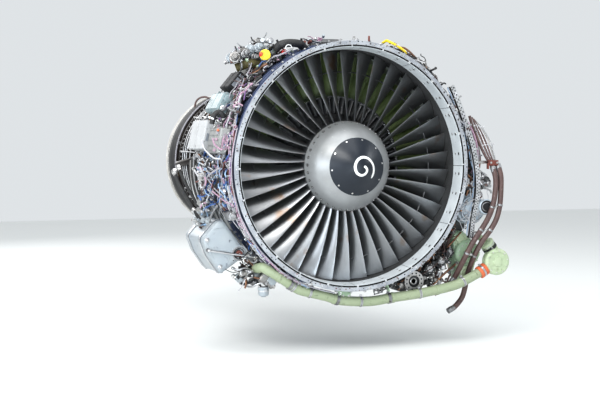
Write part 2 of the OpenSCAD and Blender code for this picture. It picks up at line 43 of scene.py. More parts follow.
# ------------------------------------------------------------------ camera
cam_data = bpy.data.cameras.new("camera")
cam_data.sensor_width = 36.0
cam_data.lens = 73.44
cam_data.clip_end = 200.0
cam = bpy.data.objects.new("camera", cam_data)
scene.collection.objects.link(cam)
cam.location = (-2.9892, -7.3744, 0.1718)
cam.rotation_euler = Vector((0.33318, 0.94160, -0.04887)).to_track_quat("-Z", "Y").to_euler()
scene.camera = cam
scene.view_settings.view_transform = "Standard"
scene.view_settings.look = "Medium High Contrast"
scene.view_settings.exposure = -0.12


# ------------------------------------------------------------------ materials
def mat(name, base, metal=0.0, rough=0.5, base2=None, vscale=6.0, vdetail=3.0, rvar=0.08, bump=0.0, bscale=80.0,
        stretch=None, coat=0.0, spots=None, sharp=0.5, spot_scale=30.0, spot_at=0.62):
    """Painted or bare metal: two tones mixed by noise, roughness that varies, a fine bump and optional spots (stains;
    on the blades, painted reflection).
    """
    m = bpy.data.materials.new(name)
    m.use_nodes = True
    nt = m.node_tree
    b = nt.nodes["Principled BSDF"]
    b.inputs["Metallic"].default_value = metal
    b.inputs["Coat Weight"].default_value = coat
    tc = nt.nodes.new("ShaderNodeTexCoord")
    co = tc.outputs["Object"]
    if stretch:
        mp = nt.nodes.new("ShaderNodeMapping")
        mp.inputs["Scale"].default_value = stretch
        nt.links.new(co, mp.inputs["Vector"])
        co = mp.outputs["Vector"]
    nz = nt.nodes.new("ShaderNodeTexNoise")
    nz.inputs["Scale"].default_value = vscale
    nz.inputs["Detail"].default_value = vdetail
    nt.links.new(co, nz.inputs["Vector"])
    cr = nt.nodes.new("ShaderNodeValToRGB")
    w = 0.5 * (1.0 - sharp)
    cr.color_ramp.elements[0].position = 0.5 - w * 0.6
    cr.color_ramp.elements[1].position = 0.5 + w * 0.6
    base2 = base2 or tuple(x * 0.86 for x in base)
    cr.color_ramp.elements[0].color = (*base2, 1)
    cr.color_ramp.elements[1].color = (*base, 1)
    nt.links.new(nz.outputs["Fac"], cr.inputs["Fac"])
    col = cr.outputs["Color"]
    if spots:
        n2 = nt.nodes.new("ShaderNodeTexNoise")
        n2.inputs["Scale"].default_value = spot_scale
        n2.inputs["Detail"].default_value = 6.0
        nt.links.new(tc.outputs["Object"], n2.inputs["Vector"])
        c2 = nt.nodes.new("ShaderNodeValToRGB")
        c2.color_ramp.elements[0].position = spot_at
        c2.color_ramp.elements[0].color = (0, 0, 0, 1)
        c2.color_ramp.elements[1].position = spot_at + 0.1
        c2.color_ramp.elements[1].color = (1, 1, 1, 1)
        nt.links.new(n2.outputs["Fac"], c2.inputs["Fac"])
        mx = nt.nodes.new("ShaderNodeMix")
        mx.data_type = "RGBA"
        nt.links.new(c2.outputs["Color"], mx.inputs["Factor"])
        nt.links.new(col, mx.inputs["A"])
        mx.inputs["B"].default_value = (*spots, 1)
        col = mx.outputs["Result"]
    nt.links.new(col, b.inputs["Base Color"])
    mr = nt.nodes.new("ShaderNodeMapRange")
    mr.inputs["To Min"].default_value = max(0.02, rough - rvar)
    mr.inputs["To Max"].default_value = min(1.0, rough + rvar)
    n3 = nt.nodes.new("ShaderNodeTexNoise")
    n3.inputs["Scale"].default_value = vscale * 3.1
    n3.inputs["Detail"].default_value = 4.0
    nt.links.new(co, n3.inputs["Vector"])
    nt.links.new(n3.outputs["Fac"], mr.inputs["Value"])
    nt.links.new(mr.outputs["Result"], b.inputs["Roughness"])
    if bump:
        n4 = nt.nodes.new("ShaderNodeTexNoise")
        n4.inputs["Scale"].default_value = bscale
        n4.inputs["Detail"].default_value = 3.0
        nt.links.new(co, n4.inputs["Vector"])
        bp = nt.nodes.new("ShaderNodeBump")
        bp.inputs["Strength"].default_value = min(1.0, bump)
        bp.inputs["Distance"].default_value = 0.001
        nt.links.new(n4.outputs["Fac"], bp.inputs["Height"])
        nt.links.new(bp.outputs["Normal"], b.inputs["Normal"])
    return m


def braid(name, base, base2, scale=900.0, rough=0.6, metal=0.0):
    """Woven sleeve: two crossed wave patterns mixed as colour and bump."""
    m = bpy.data.materials.new(name)
    m.use_nodes = True
    nt = m.node_tree
    b = nt.nodes["Principled BSDF"]
    b.inputs["Roughness"].default_value = rough
    b.inputs["Metallic"].default_value = metal
    tc = nt.nodes.new("ShaderNodeTexCoord")
    fac = None
    for rot in ((0.6, 0.5, 0.8), (-0.7, 0.9, -0.5)):
        mp = nt.nodes.new("ShaderNodeMapping")
        mp.inputs["Rotation"].default_value = rot
        nt.links.new(tc.outputs["Object"], mp.inputs["Vector"])
        wv = nt.nodes.new("ShaderNodeTexWave")
        wv.inputs["Scale"].default_value = scale / 8.0
        wv.inputs["Distortion"].default_value = 1.5
        nt.links.new(mp.outputs["Vector"], wv.inputs["Vector"])
        if fac is None:
            fac = wv.outputs["Fac"]
        else:
            mu = nt.nodes.new("ShaderNodeMath")
            mu.operation = "MULTIPLY"
            nt.links.new(fac, mu.inputs[0])
            nt.links.new(wv.outputs["Fac"], mu.inputs[1])
            fac = mu.outputs[0]
    cr = nt.nodes.new("ShaderNodeValToRGB")
    cr.color_ramp.elements[0].color = (*base2, 1)
    cr.color_ramp.elements[1].color = (*base, 1)
    cr.color_ramp.elements[0].position = 0.1
    cr.color_ramp.elements[1].position = 0.5
    nt.links.new(fac, cr.inputs["Fac"])
    nt.links.new(cr.outputs["Color"], b.inputs["Base Color"])
    bp = nt.nodes.new("ShaderNodeBump")
    bp.inputs["Strength"].default_value = 0.5
    bp.inputs["Distance"].default_value = 0.001
    nt.links.new(fac, bp.inputs["Height"])
    nt.links.new(bp.outputs["Normal"], b.inputs["Normal"])
    return m


def two_tone(name, front, front2, rear, rear2, y0, rough, metal=0.2, spots=(0.30, 0.29, 0.29), edge=0.0015):
    """One colour ahead of station y0, another behind it, each with its own noise; stains on the front one."""
    m = bpy.data.materials.new(name)
    m.use_nodes = True
    nt = m.node_tree
    b = nt.nodes["Principled BSDF"]
    b.inputs["Metallic"].default_value = metal
    tc = nt.nodes.new("ShaderNodeTexCoord")
    nz = nt.nodes.new("ShaderNodeTexNoise")
    nz.inputs["Scale"].default_value = 11.0
    nz.inputs["Detail"].default_value = 6.0
    nt.links.new(tc.outputs["Object"], nz.inputs["Vector"])
    cols = []
    for a, c in ((front, front2), (rear, rear2)):
        cr = nt.nodes.new("ShaderNodeValToRGB")
        cr.color_ramp.elements[0].position = 0.40
        cr.color_ramp.elements[1].position = 0.60
        cr.color_ramp.elements[0].color = (*c, 1)
        cr.color_ramp.elements[1].color = (*a, 1)
        nt.links.new(nz.outputs["Fac"], cr.inputs["Fac"])
        cols.append(cr.outputs["Color"])
    n2 = nt.nodes.new("ShaderNodeTexNoise")
    n2.inputs["Scale"].default_value = 42.0
    n2.inputs["Detail"].default_value = 6.0
    nt.links.new(tc.outputs["Object"], n2.inputs["Vector"])
    c2 = nt.nodes.new("ShaderNodeValToRGB")
    c2.color_ramp.elements[0].position = 0.60
    c2.color_ramp.elements[0].color = (0, 0, 0, 1)
    c2.color_ramp.elements[1].position = 0.68
    c2.color_ramp.elements[1].color = (1, 1, 1, 1)
    nt.links.new(n2.outputs["Fac"], c2.inputs["Fac"])
    ms = nt.nodes.new("ShaderNodeMix")
    ms.data_type = "RGBA"
    nt.links.new(c2.outputs["Color"], ms.inputs["Factor"])
    nt.links.new(cols[0], ms.inputs["A"])
    ms.inputs["B"].default_value = (*spots, 1)
    sp = nt.nodes.new("ShaderNodeSeparateXYZ")
    nt.links.new(tc.outputs["Object"], sp.inputs["Vector"])
    mp = nt.nodes.new("ShaderNodeMapRange")
    mp.inputs["From Min"].default_value = y0 - edge
    mp.inputs["From Max"].default_value = y0 + edge
    nt.links.new(sp.outputs["Y"], mp.inputs["Value"])
    mx = nt.nodes.new("ShaderNodeMix")
    mx.data_type = "RGBA"
    nt.links.new(mp.outputs["Result"], mx.inputs["Factor"])
    nt.links.new(ms.outputs["Result"], mx.inputs["A"])
    nt.links.new(cols[1], mx.inputs["B"])
    nt.links.new(mx.outputs["Result"], b.inputs["Base Color"])
    mr = nt.nodes.new("ShaderNodeMapRange")
    mr.inputs["To Min"].default_value = rough - 0.08
    mr.inputs["To Max"].default_value = rough + 0.08
    nt.links.new(n2.outputs["Fac"], mr.inputs["Value"])
    nt.links.new(mr.outputs["Result"], b.inputs["Roughness"])
    bp = nt.nodes.new("ShaderNodeBump")
    bp.inputs["Strength"].default_value = 0.2
    bp.inputs["Distance"].default_value = 0.001
    nt.links.new(n2.outputs["Fac"], bp.inputs["Height"])
    nt.links.new(bp.outputs["Normal"], b.inputs["Normal"])
    return m


MAT = {
    "case_two": two_tone("flange_and_case", (0.38, 0.395, 0.42), (0.27, 0.282, 0.308), (0.130, 0.155, 0.245), (0.090, 0.108, 0.175), 0.0300, 0.42),
    # exhaust nozzle: near-black ahead of station 2.765, partly the dark hot case and partly painted shade for the gap
    # in front of the pale nozzle; pale metal behind
    "nozzle_two": two_tone("nozzle_shade_and_pale", (0.018, 0.017, 0.018), (0.008, 0.008, 0.009), (0.60, 0.58, 0.55), (0.42, 0.40, 0.37), 2.765, 0.62, 0.05,
                           (0.050, 0.045, 0.040), 0.003),
    # blades: the warm tan spots stand for the warm reflections on the blades, painted reflection
    "blade": mat("blade_metal", (0.352, 0.364, 0.380), 0.9, 0.36, (0.195, 0.192, 0.192), 3.0, 5.0, 0.10, 0.15, 220.0,
                 spots=(0.25, 0.185, 0.145), spot_scale=5.0, spot_at=0.60, sharp=0.0),
    "blade_edge": mat("blade_edge", (0.60, 0.60, 0.60), 0.9, 0.28, vscale=20),
    "flange": mat("flange_paint", (0.35, 0.365, 0.39), 0.25, 0.42, (0.25, 0.262, 0.288), 14.0, 6.0, 0.10, 0.25, 300.0,
                  spots=(0.22, 0.205, 0.205), spot_scale=60.0, spot_at=0.60),
    "liner": mat("liner_paint", (0.56, 0.585, 0.60), 0.1, 0.42, (0.47, 0.495, 0.51), 9.0, 5.0, 0.08, 0.2, 240.0,
                 spots=(0.33, 0.34, 0.345), spot_scale=70.0, spot_at=0.64),
    "edge_bright": mat("bare_edge", (0.80, 0.81, 0.82), 0.85, 0.25, vscale=30),
    "slate": mat("slate_paint", (0.035, 0.058, 0.13), 0.15, 0.42, (0.022, 0.040, 0.095), 7.0, 5.0, 0.08, 0.15, 200.0,
                 spots=(0.07, 0.085, 0.13), spot_scale=40.0, spot_at=0.66),
    "frame_alu": mat("frame_alloy", (0.34, 0.35, 0.35), 0.65, 0.42, (0.19, 0.195, 0.20), 8.0, 5.0, 0.1, 0.35, 180.0,
                     spots=(0.09, 0.088, 0.085), spot_scale=30.0, spot_at=0.61),
    "steel": mat("bare_steel", (0.55, 0.55, 0.56), 0.9, 0.34, (0.42, 0.42, 0.43), 18.0, 4.0, 0.1, 0.2, 260.0),
    "dull_steel": mat("dull_steel", (0.34, 0.34, 0.345), 0.85, 0.48, (0.22, 0.22, 0.225), 16.0, 5.0, 0.12, 0.35, 240.0,
                      spots=(0.12, 0.11, 0.10), spot_scale=45.0, spot_at=0.60),
    "bolt": mat("bolt_steel", (0.62, 0.61, 0.60), 0.95, 0.28, (0.45, 0.44, 0.43), 90.0, 2.0),
    "abradable": mat("rub_strip", (0.045, 0.045, 0.047), 0.0, 0.75, (0.03, 0.03, 0.03), 12.0, 6.0, 0.1, 0.6, 400.0),
    # near-black paint for holes, bores, recesses and gaps between parts: painted shade inside them
    "dark": mat("painted_shade_hollows", (0.02, 0.02, 0.022), 0.2, 0.7, vscale=10.0),
    # near-black floor of the slot beside the inlet lip: painted shade in the slot
    "slot": mat("painted_shade_slot", (0.003, 0.003, 0.004), 0.0, 0.9, vscale=10.0),
    "duct_green": mat("duct_green", (0.304, 0.348, 0.231), 0.0, 0.40, (0.275, 0.322, 0.208), 9.0, 6.0, 0.08, 0.15, 220.0,
                      spots=(0.17, 0.20, 0.125), spot_scale=38.0, spot_at=0.62),
    "spinner": mat("spinner_grey", (0.36, 0.365, 0.37), 0.45, 0.38, (0.27, 0.275, 0.275), 5.0, 6.0, 0.08, 0.12, 300.0,
                   spots=(0.44, 0.445, 0.44), spot_scale=50.0, spot_at=0.66),
    "cap_black": mat("spinner_black", (0.0055, 0.0095, 0.0170), 0.0, 0.36, (0.008, 0.0125, 0.021), 9.0, 6.0, 0.07, 0.15, 300.0,
                     spots=(0.018, 0.019, 0.024), spot_scale=55.0, spot_at=0.68),
    "white_paint": mat("swirl_white", (0.80, 0.80, 0.79), 0.0, 0.42, (0.68, 0.68, 0.67), 30.0, 5.0),
    "green": mat("green_primer", (0.40, 0.52, 0.37), 0.0, 0.40, (0.31, 0.42, 0.285), 8.0, 5.0, 0.08, 0.15, 200.0,
                 spots=(0.17, 0.22, 0.13), spot_scale=32.0, spot_at=0.62),
    "green_pale": mat("green_pale", (0.423, 0.486, 0.333), 0.0, 0.38, (0.39, 0.47, 0.31), 9.0, 6.0, 0.08, 0.15, 220.0,
                      spots=(0.25, 0.29, 0.18), spot_scale=38.0, spot_at=0.63),
    "vane_green": mat("vane_green", (0.22, 0.28, 0.120), 0.05, 0.42, (0.14, 0.185, 0.075), 9.0, 4.0),
    "tank": mat("tank_paint", (0.357, 0.382, 0.396), 0.15, 0.40, (0.29, 0.325, 0.355), 5.0, 6.0, 0.08, 0.2, 160.0,
                spots=(0.13, 0.14, 0.16), spot_scale=28.0, spot_at=0.63),
    "box_white": mat("box_white", (0.435, 0.44, 0.445), 0.0, 0.5, (0.375, 0.38, 0.385), 9.0, 5.0, 0.06, 0.2, 300.0,
                     spots=(0.28, 0.27, 0.25), spot_scale=40.0, spot_at=0.64),
    "box_beige": mat("box_beige", (0.31, 0.312, 0.305), 0.1, 0.5, (0.24, 0.242, 0.238), 9.0, 5.0, 0.06, 0.2, 300.0,
                     spots=(0.16, 0.15, 0.13), spot_scale=40.0, spot_at=0.62),
    "box_blue": mat("box_blue_grey", (0.23, 0.29, 0.30), 0.2, 0.40, (0.17, 0.215, 0.23), 8.0, 5.0),
    "black": mat("black_paint", (0.011, 0.011, 0.013), 0.0, 0.68, (0.02, 0.02, 0.022), 20.0, 5.0, 0.1, 0.2, 300.0),
    "rubber": mat("black_rubber", (0.022, 0.022, 0.023), 0.0, 0.6, (0.035, 0.034, 0.034), 25.0, 5.0, 0.1, 0.5, 260.0),
    "window": mat("window_grey", (0.26, 0.28, 0.31), 0.2, 0.35, vscale=20.0),
    "hose": mat("hose_brown", (0.105, 0.062, 0.055), 0.0, 0.55, (0.075, 0.045, 0.042), 20.0, 6.0, 0.1, 0.5, 420.0,
                spots=(0.17, 0.12, 0.11), spot_scale=60.0, spot_at=0.62),
    "orange": mat("orange_clamp", (0.62, 0.155, 0.06), 0.0, 0.45, (0.50, 0.11, 0.045), 20.0, 5.0),
    "red": mat("red_cap", (0.55, 0.03, 0.03), 0.0, 0.4, (0.45, 0.02, 0.02), 20.0),
    "redbrown": mat("red_brown", (0.17, 0.052, 0.038), 0.1, 0.5, (0.115, 0.036, 0.030), 30.0, 5.0, 0.1, 0.3, 200.0),
    "yellow": mat("yellow_tag", (0.86, 0.66, 0.045), 0.0, 0.45, (0.78, 0.57, 0.035), 20.0),
    "olive": mat("olive_wrap", (0.085, 0.072, 0.022), 0.0, 0.7, (0.04, 0.034, 0.012), 22.0, 6.0, 0.1, 0.9, 60.0),
    "blue": mat("blue_wire", (0.065, 0.145, 0.36), 0.0, 0.5, (0.05, 0.10, 0.26), 20.0),
    "lightblue": mat("light_blue", (0.38, 0.52, 0.68), 0.1, 0.4, (0.30, 0.42, 0.58), 20.0),
    "white_wire": mat("white_wire", (0.55, 0.55, 0.56), 0.0, 0.45, (0.40, 0.40, 0.42), 30.0),
    "pinkbraid": braid("pink_braid", (0.62, 0.42, 0.50), (0.28, 0.17, 0.24)),
    "purple": mat("purple_wire", (0.20, 0.11, 0.27), 0.0, 0.5, (0.12, 0.06, 0.18), 30.0),
    "whitebraid": braid("white_braid", (0.50, 0.49, 0.51), (0.22, 0.21, 0.24)),
    "silverbraid": braid("silver_braid", (0.60, 0.60, 0.60), (0.25, 0.25, 0.26), rough=0.4, metal=0.7),
    "copper": mat("copper_brown", (0.30, 0.16, 0.09), 0.7, 0.42, (0.18, 0.10, 0.07), 20.0, 5.0),
    "hot": mat("hot_case", (0.055, 0.047, 0.043), 0.75, 0.46, (0.022, 0.019, 0.019), 4.0, 6.0, 0.12, 0.3, 160.0,
               spots=(0.10, 0.072, 0.045), spot_scale=7.0, spot_at=0.60, sharp=0.0),
    "starter_paint": mat("starter_paint", (0.52, 0.58, 0.635), 0.15, 0.36, (0.42, 0.48, 0.53), 6.0, 6.0, 0.08, 0.2, 160.0,
                         spots=(0.20, 0.22, 0.25), spot_scale=28.0, spot_at=0.63),
    "gear_dark": mat("gearbox_dark", (0.105, 0.105, 0.108), 0.7, 0.45, (0.045, 0.045, 0.047), 8.0, 5.0, 0.1, 0.35, 180.0,
                     spots=(0.03, 0.028, 0.026), spot_scale=30.0, spot_at=0.60),
    "ring_steel": mat("ring_steel", (0.52, 0.51, 0.50), 0.85, 0.36, (0.36, 0.35, 0.34), 14.0, 5.0, 0.1, 0.3, 220.0,
                      spots=(0.16, 0.14, 0.125), spot_scale=40.0, spot_at=0.60),
    "hot_blue": mat("hot_blue", (0.20, 0.20, 0.24), 0.9, 0.36, (0.24, 0.17, 0.11), 3.0, 6.0, 0.1, 0.2, 160.0, sharp=0.0),
    "nozzle": mat("nozzle_metal", (0.12, 0.115, 0.11), 0.85, 0.36, (0.06, 0.055, 0.05), 3.5, 6.0, 0.1, 0.2, 160.0, sharp=0.0),
    "titan": mat("case_titanium", (0.36, 0.35, 0.34), 0.85, 0.42, (0.26, 0.25, 0.24), 6.0, 5.0, 0.1, 0.3, 180.0,
                 spots=(0.18, 0.14, 0.11), spot_scale=16.0, spot_at=0.64),
    "brass": mat("brass", (0.55, 0.42, 0.20), 0.9, 0.35, (0.40, 0.29, 0.13), 30.0),
    "screw_dark": mat("screw_dark", (0.06, 0.06, 0.065), 0.6, 0.45, vscale=60.0),
}


# ------------------------------------------------------------------ geometry helpers
def cp(c, R, y):
    a = math.radians(c)
    return (R * math.sin(a), y, R * math.cos(a))


def unit(v):
    v = np.asarray(v, float)
    return v / (np.linalg.norm(v) + 1e-12)


def spline(pts, m=6):
    """Catmull-Rom through the points, m steps a span."""
    p = [np.asarray(q, float) for q in pts]
    out = []
    n = len(p) - 1
    for i in range(n):
        a, b, c, d = p[max(i - 1, 0)], p[i], p[i + 1], p[min(i + 2, n)]
        for k in range(m):
            t = k / m
            out.append(0.5 * (2 * b + (c - a) * t + (2 * a - 5 * b + 4 * c - d) * t * t + (3 * b - a - 3 * c + d) * t ** 3))
    out.append(p[n])
    return out


class Part:
    """Collects geometry in one mesh. A frame (origin, ex, ey, ez) places what is added."""

    def __init__(self, name, mats):
        self.name, self.mats = name, mats
        self.v, self.f, self.mi = [], [], []
        self.frame()

    def frame(self, o=(0, 0, 0), ex=(1, 0, 0), ey=(0, 1, 0), ez=(0, 0, 1)):
        self.o = np.asarray(o, float)
        self.B = np.array([unit(ex), unit(ey), unit(ez)])
        return self

    def at(self, c, R, y, spin=0.0):
        """On the engine's side: x clockwise seen from the front, y aft, z outward; spin turns about z."""
        a, s = math.radians(c), math.radians(spin)
        ex, ey, ez = np.array([math.cos(a), 0, -math.sin(a)]), np.array([0, 1.0, 0]), np.array([math.sin(a), 0, math.cos(a)])
        return self.frame(cp(c, R, y), ex * math.cos(s) + ey * math.sin(s), -ex * math.sin(s) + ey * math.cos(s), ez)

    def raw(self, vs, fs, m=0):
        base = len(self.v)
        vs = np.asarray(vs, float) @ self.B + self.o
        self.v.extend(map(tuple, vs))
        self.f.extend([tuple(base + i for i in f) for f in fs])
        self.mi.extend([m] * len(fs))
        return self

    def box(self, c, s, m=0, bev=0.003, tilt=None):
        """Chamfered box: centre, size."""
        hx, hy, hz = (x / 2 for x in s)
        if bev <= 0.0011:
            vs = np.array([(a * hx, b * hy, d * hz) for a in (-1, 1) for b in (-1, 1) for d in (-1, 1)])
            if tilt is not None:
                vs = rot(vs, *tilt)
            return self.raw(vs + np.asarray(c, float), [(0, 1, 3, 2), (4, 6, 7, 5), (0, 4, 5, 1), (2, 3, 7, 6), (0, 2, 6, 4), (1, 5, 7, 3)], m)
        b = min(bev, hx * 0.9, hy * 0.9, hz * 0.9)
        vs, idx = [], {}
        for sx in (-1, 1):
            for sy in (-1, 1):
                for sz in (-1, 1):
                    idx[sx, sy, sz, 0] = len(vs)
                    vs.append((sx * hx, sy * (hy - b), sz * (hz - b)))
                    idx[sx, sy, sz, 1] = len(vs)
                    vs.append((sx * (hx - b), sy * hy, sz * (hz - b)))
                    idx[sx, sy, sz, 2] = len(vs)
                    vs.append((sx * (hx - b), sy * (hy - b), sz * hz))
        fs = []

        def q(*k):
            fs.append(tuple(idx[x] for x in k))

        for s1 in (-1, 1):
            q((s1, -1, -1, 0), (s1, 1, -1, 0), (s1, 1, 1, 0), (s1, -1, 1, 0))
            q((-1, s1, -1, 1), (-1, s1, 1, 1), (1, s1, 1, 1), (1, s1, -1, 1))
            q((-1, -1, s1, 2), (1, -1, s1, 2), (1, 1, s1, 2), (-1, 1, s1, 2))
            for s2 in (-1, 1):
                q((s1, s2, -1, 0), (s1, s2, 1, 0), (s1, s2, 1, 1), (s1, s2, -1, 1))
                q((s1, -1, s2, 0), (s1, 1, s2, 0), (s1, 1, s2, 2), (s1, -1, s2, 2))
                q((-1, s1, s2, 1), (1, s1, s2, 1), (1, s1, s2, 2), (-1, s1, s2, 2))
                for s3 in (-1, 1):
                    q((s1, s2, s3, 0), (s1, s2, s3, 1), (s1, s2, s3, 2))
        vs = np.array(vs)
        if tilt is not None:
            ax, an = tilt
            vs = rot(vs, ax, an)
        return self.raw(vs + np.asarray(c, float), fs, m)

    def lathe(self, prof, o=(0, 0, 0), axis=(0, 0, 1), n=24, m=0, a0=0.0, a1=360.0, c0=True, c1=True):
        """Turned piece: (r, h) points from one end to the other, about axis through o."""
        ez = unit(axis)
        ex = unit(np.cross((0, 1, 0) if abs(ez[1]) < 0.9 else (1, 0, 0), ez))
        ey = np.cross(ez, ex)
        full = a1 - a0 >= 360.0
        cols = n if full else n + 1
        vs, fs = [], []
        tip = full and prof[-1][0] < 1e-6 and len(prof) > 1
        last = prof[-1][1]
        if tip:
            prof = list(prof[:-1])
        for r, h in prof:
            for k in range(cols):
                a = math.radians(a0 + (a1 - a0) * k / n)
                vs.append(np.asarray(o, float) + ez * h + r * (math.cos(a) * ex + math.sin(a) * ey))
        for i in range(len(prof) - 1):
            for k in range(n):
                k2 = (k + 1) % cols
                if not full and k + 1 > n:
                    continue
                fs.append((i * cols + k, i * cols + k2, (i + 1) * cols + k2, (i + 1) * cols + k))
        if tip:
            b = (len(prof) - 1) * cols
            if abs(last - prof[-1][1]) < 1e-7:
                fs.append(tuple(b + k for k in range(cols)))
            else:
                vs.append(np.asarray(o, float) + ez * last)
                for k in range(n):
                    fs.append((b + k, b + (k + 1) % cols, b + cols))
        if full:
            if prof[0][0] > 1e-6 and c0:
                fs.append(tuple(range(cols))[::-1])
            if not tip and prof[-1][0] > 1e-6 and c1:
                fs.append(tuple((len(prof) - 1) * cols + k for k in range(cols)))
        return self.raw(vs, fs, m)

    def ring(self, prof, n=144, m=0, o=(0, 0, 0), axis=(0, 1, 0), a0=0.0, a1=360.0):
        """Closed profile turned about the engine axis (or axis): every profile side becomes a wall."""
        ez = unit(axis)
        ex = unit(np.cross((0, 0, 1) if abs(ez[2]) < 0.9 else (1, 0, 0), ez))
        ey = np.cross(ez, ex)
        full = a1 - a0 >= 360.0
        cols = n if full else n + 1
        L = len(prof)
        vs = []
        for k in range(cols):
            a = math.radians(a0 + (a1 - a0) * k / n)
            d = math.cos(a) * ex + math.sin(a) * ey
            for r, h in prof:
                vs.append(np.asarray(o, float) + ez * h + r * d)
        fs = []
        for k in range(n):
            k2 = (k + 1) % cols
            for i in range(L):
                j = (i + 1) % L
                fs.append((k * L + i, k * L + j, k2 * L + j, k2 * L + i))
        if not full:
            fs.append(tuple(range(L))[::-1])
            fs.append(tuple(n * L + i for i in range(L)))
        return self.raw(vs, fs, m)

    def tube(self, pts, r, m=0, n=10, k=6, cap=True, smooth=True):
        q = spline(pts, k) if smooth and len(pts) > 2 else [np.asarray(p, float) for p in pts]
        L = len(q)
        rs = r if callable(r) else (lambda t: r)
        t0 = unit(q[1] - q[0])
        u = unit(np.cross(t0, (0.31, 0.2, 0.93)))
        vs, fs = [], []
        for i in range(L):
            t = unit(q[min(i + 1, L - 1)] - q[max(i - 1, 0)])
            u = unit(u - np.dot(u, t) * t)
            w = np.cross(t, u)
            rr = rs(i / (L - 1))
            for j in range(n):
                a = 2 * math.pi * j / n
                vs.append(q[i] + rr * (math.cos(a) * u + math.sin(a) * w))
        for i in range(L - 1):
            for j in range(n):
                j2 = (j + 1) % n
                fs.append((i * n + j, i * n + j2, (i + 1) * n + j2, (i + 1) * n + j))
        if cap:
            fs.append(tuple(range(n))[::-1])
            fs.append(tuple((L - 1) * n + j for j in range(n)))
        return self.raw(vs, fs, m)

    def bolt(self, o, axis, r=0.006, h=0.006, m=0, washer=True):
        ez = unit(axis)
        o = np.asarray(o, float)
        if washer:
            self.lathe([(r * 1.45, 0), (r * 1.45, h * 0.25), (0, h * 0.25)], o, ez, 8, m)
        self.lathe([(r, h * 0.2), (r, h * 0.9), (r * 0.8, h * 1.05), (0, h * 1.05)], o, ez, 6, m)
        return self

    def screw(self, o, axis, r=0.004, h=0.0012, m=0):
        return self.lathe([(r, 0), (r * 0.9, h), (r * 0.35, h), (r * 0.3, h * 0.4), (0, h * 0.4)], o, axis, 10, m)

    def clamp(self, p, t, r, m=0, w=0.012, th=0.003, lug=True):
        """Band round a tube at p running along t."""
        t = unit(t)
        self.lathe([(r, -w / 2), (r + th, -w / 2), (r + th, w / 2), (r, w / 2)], p, t, 14, m)
        if lug:
            s = unit(np.cross(t, (0.2, 1, 0.1)))
            c = np.asarray(p, float) + s * (r + 0.006)
            ex, ez = t, s
            ey = np.cross(ez, ex)
            sub = [c + ex * a * w / 2 + ey * b * 0.004 + ez * d * 0.008 for a in (-1, 1) for b in (-1, 1) for d in (-1, 1)]
            self.raw(sub, [(0, 1, 3, 2), (4, 6, 7, 5), (0, 4, 5, 1), (2, 3, 7, 6), (0, 2, 6, 4), (1, 5, 7, 3)], m)
            self.lathe([(0.003, -0.007), (0.003, 0.007), (0, 0.007)], c, ey, 6, m)
        return self

    def done(self, body="engine", replaces=(), slot=None, angle=35.0):
        me = bpy.data.meshes.new(self.name)
        me.from_pydata(self.v, [], self.f)
        for m in self.mats:
            me.materials.append(MAT[m])
        me.polygons.foreach_set("material_index", self.mi)
        me.polygons.foreach_set("use_smooth", [True] * len(me.polygons))
        me.validate()
        bm = bmesh.new()
        bm.from_mesh(me)
        bmesh.ops.recalc_face_normals(bm, faces=bm.faces)
        bm.to_mesh(me)
        bm.free()
        me.set_sharp_from_angle(angle=math.radians(angle))
        ob = bpy.data.objects.new(self.name, me)
        scene.collection.objects.link(ob)
        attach(ob, body)
        if replaces:
            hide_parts(*replaces)
        return ob


def rot(vs, axis, deg):
    a = math.radians(deg)
    k = unit(axis)
    vs = np.asarray(vs, float)
    return vs * math.cos(a) + np.cross(k, vs) * math.sin(a) + np.outer(vs @ k, k) * (1 - math.cos(a))


def dress(node, *mats):
    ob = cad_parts[node]
    while len(ob.material_slots) < 1:
        ob.data.materials.append(None)
    for i, s in enumerate(ob.material_slots):
        s.material = MAT[mats[min(i, len(mats) - 1)]]


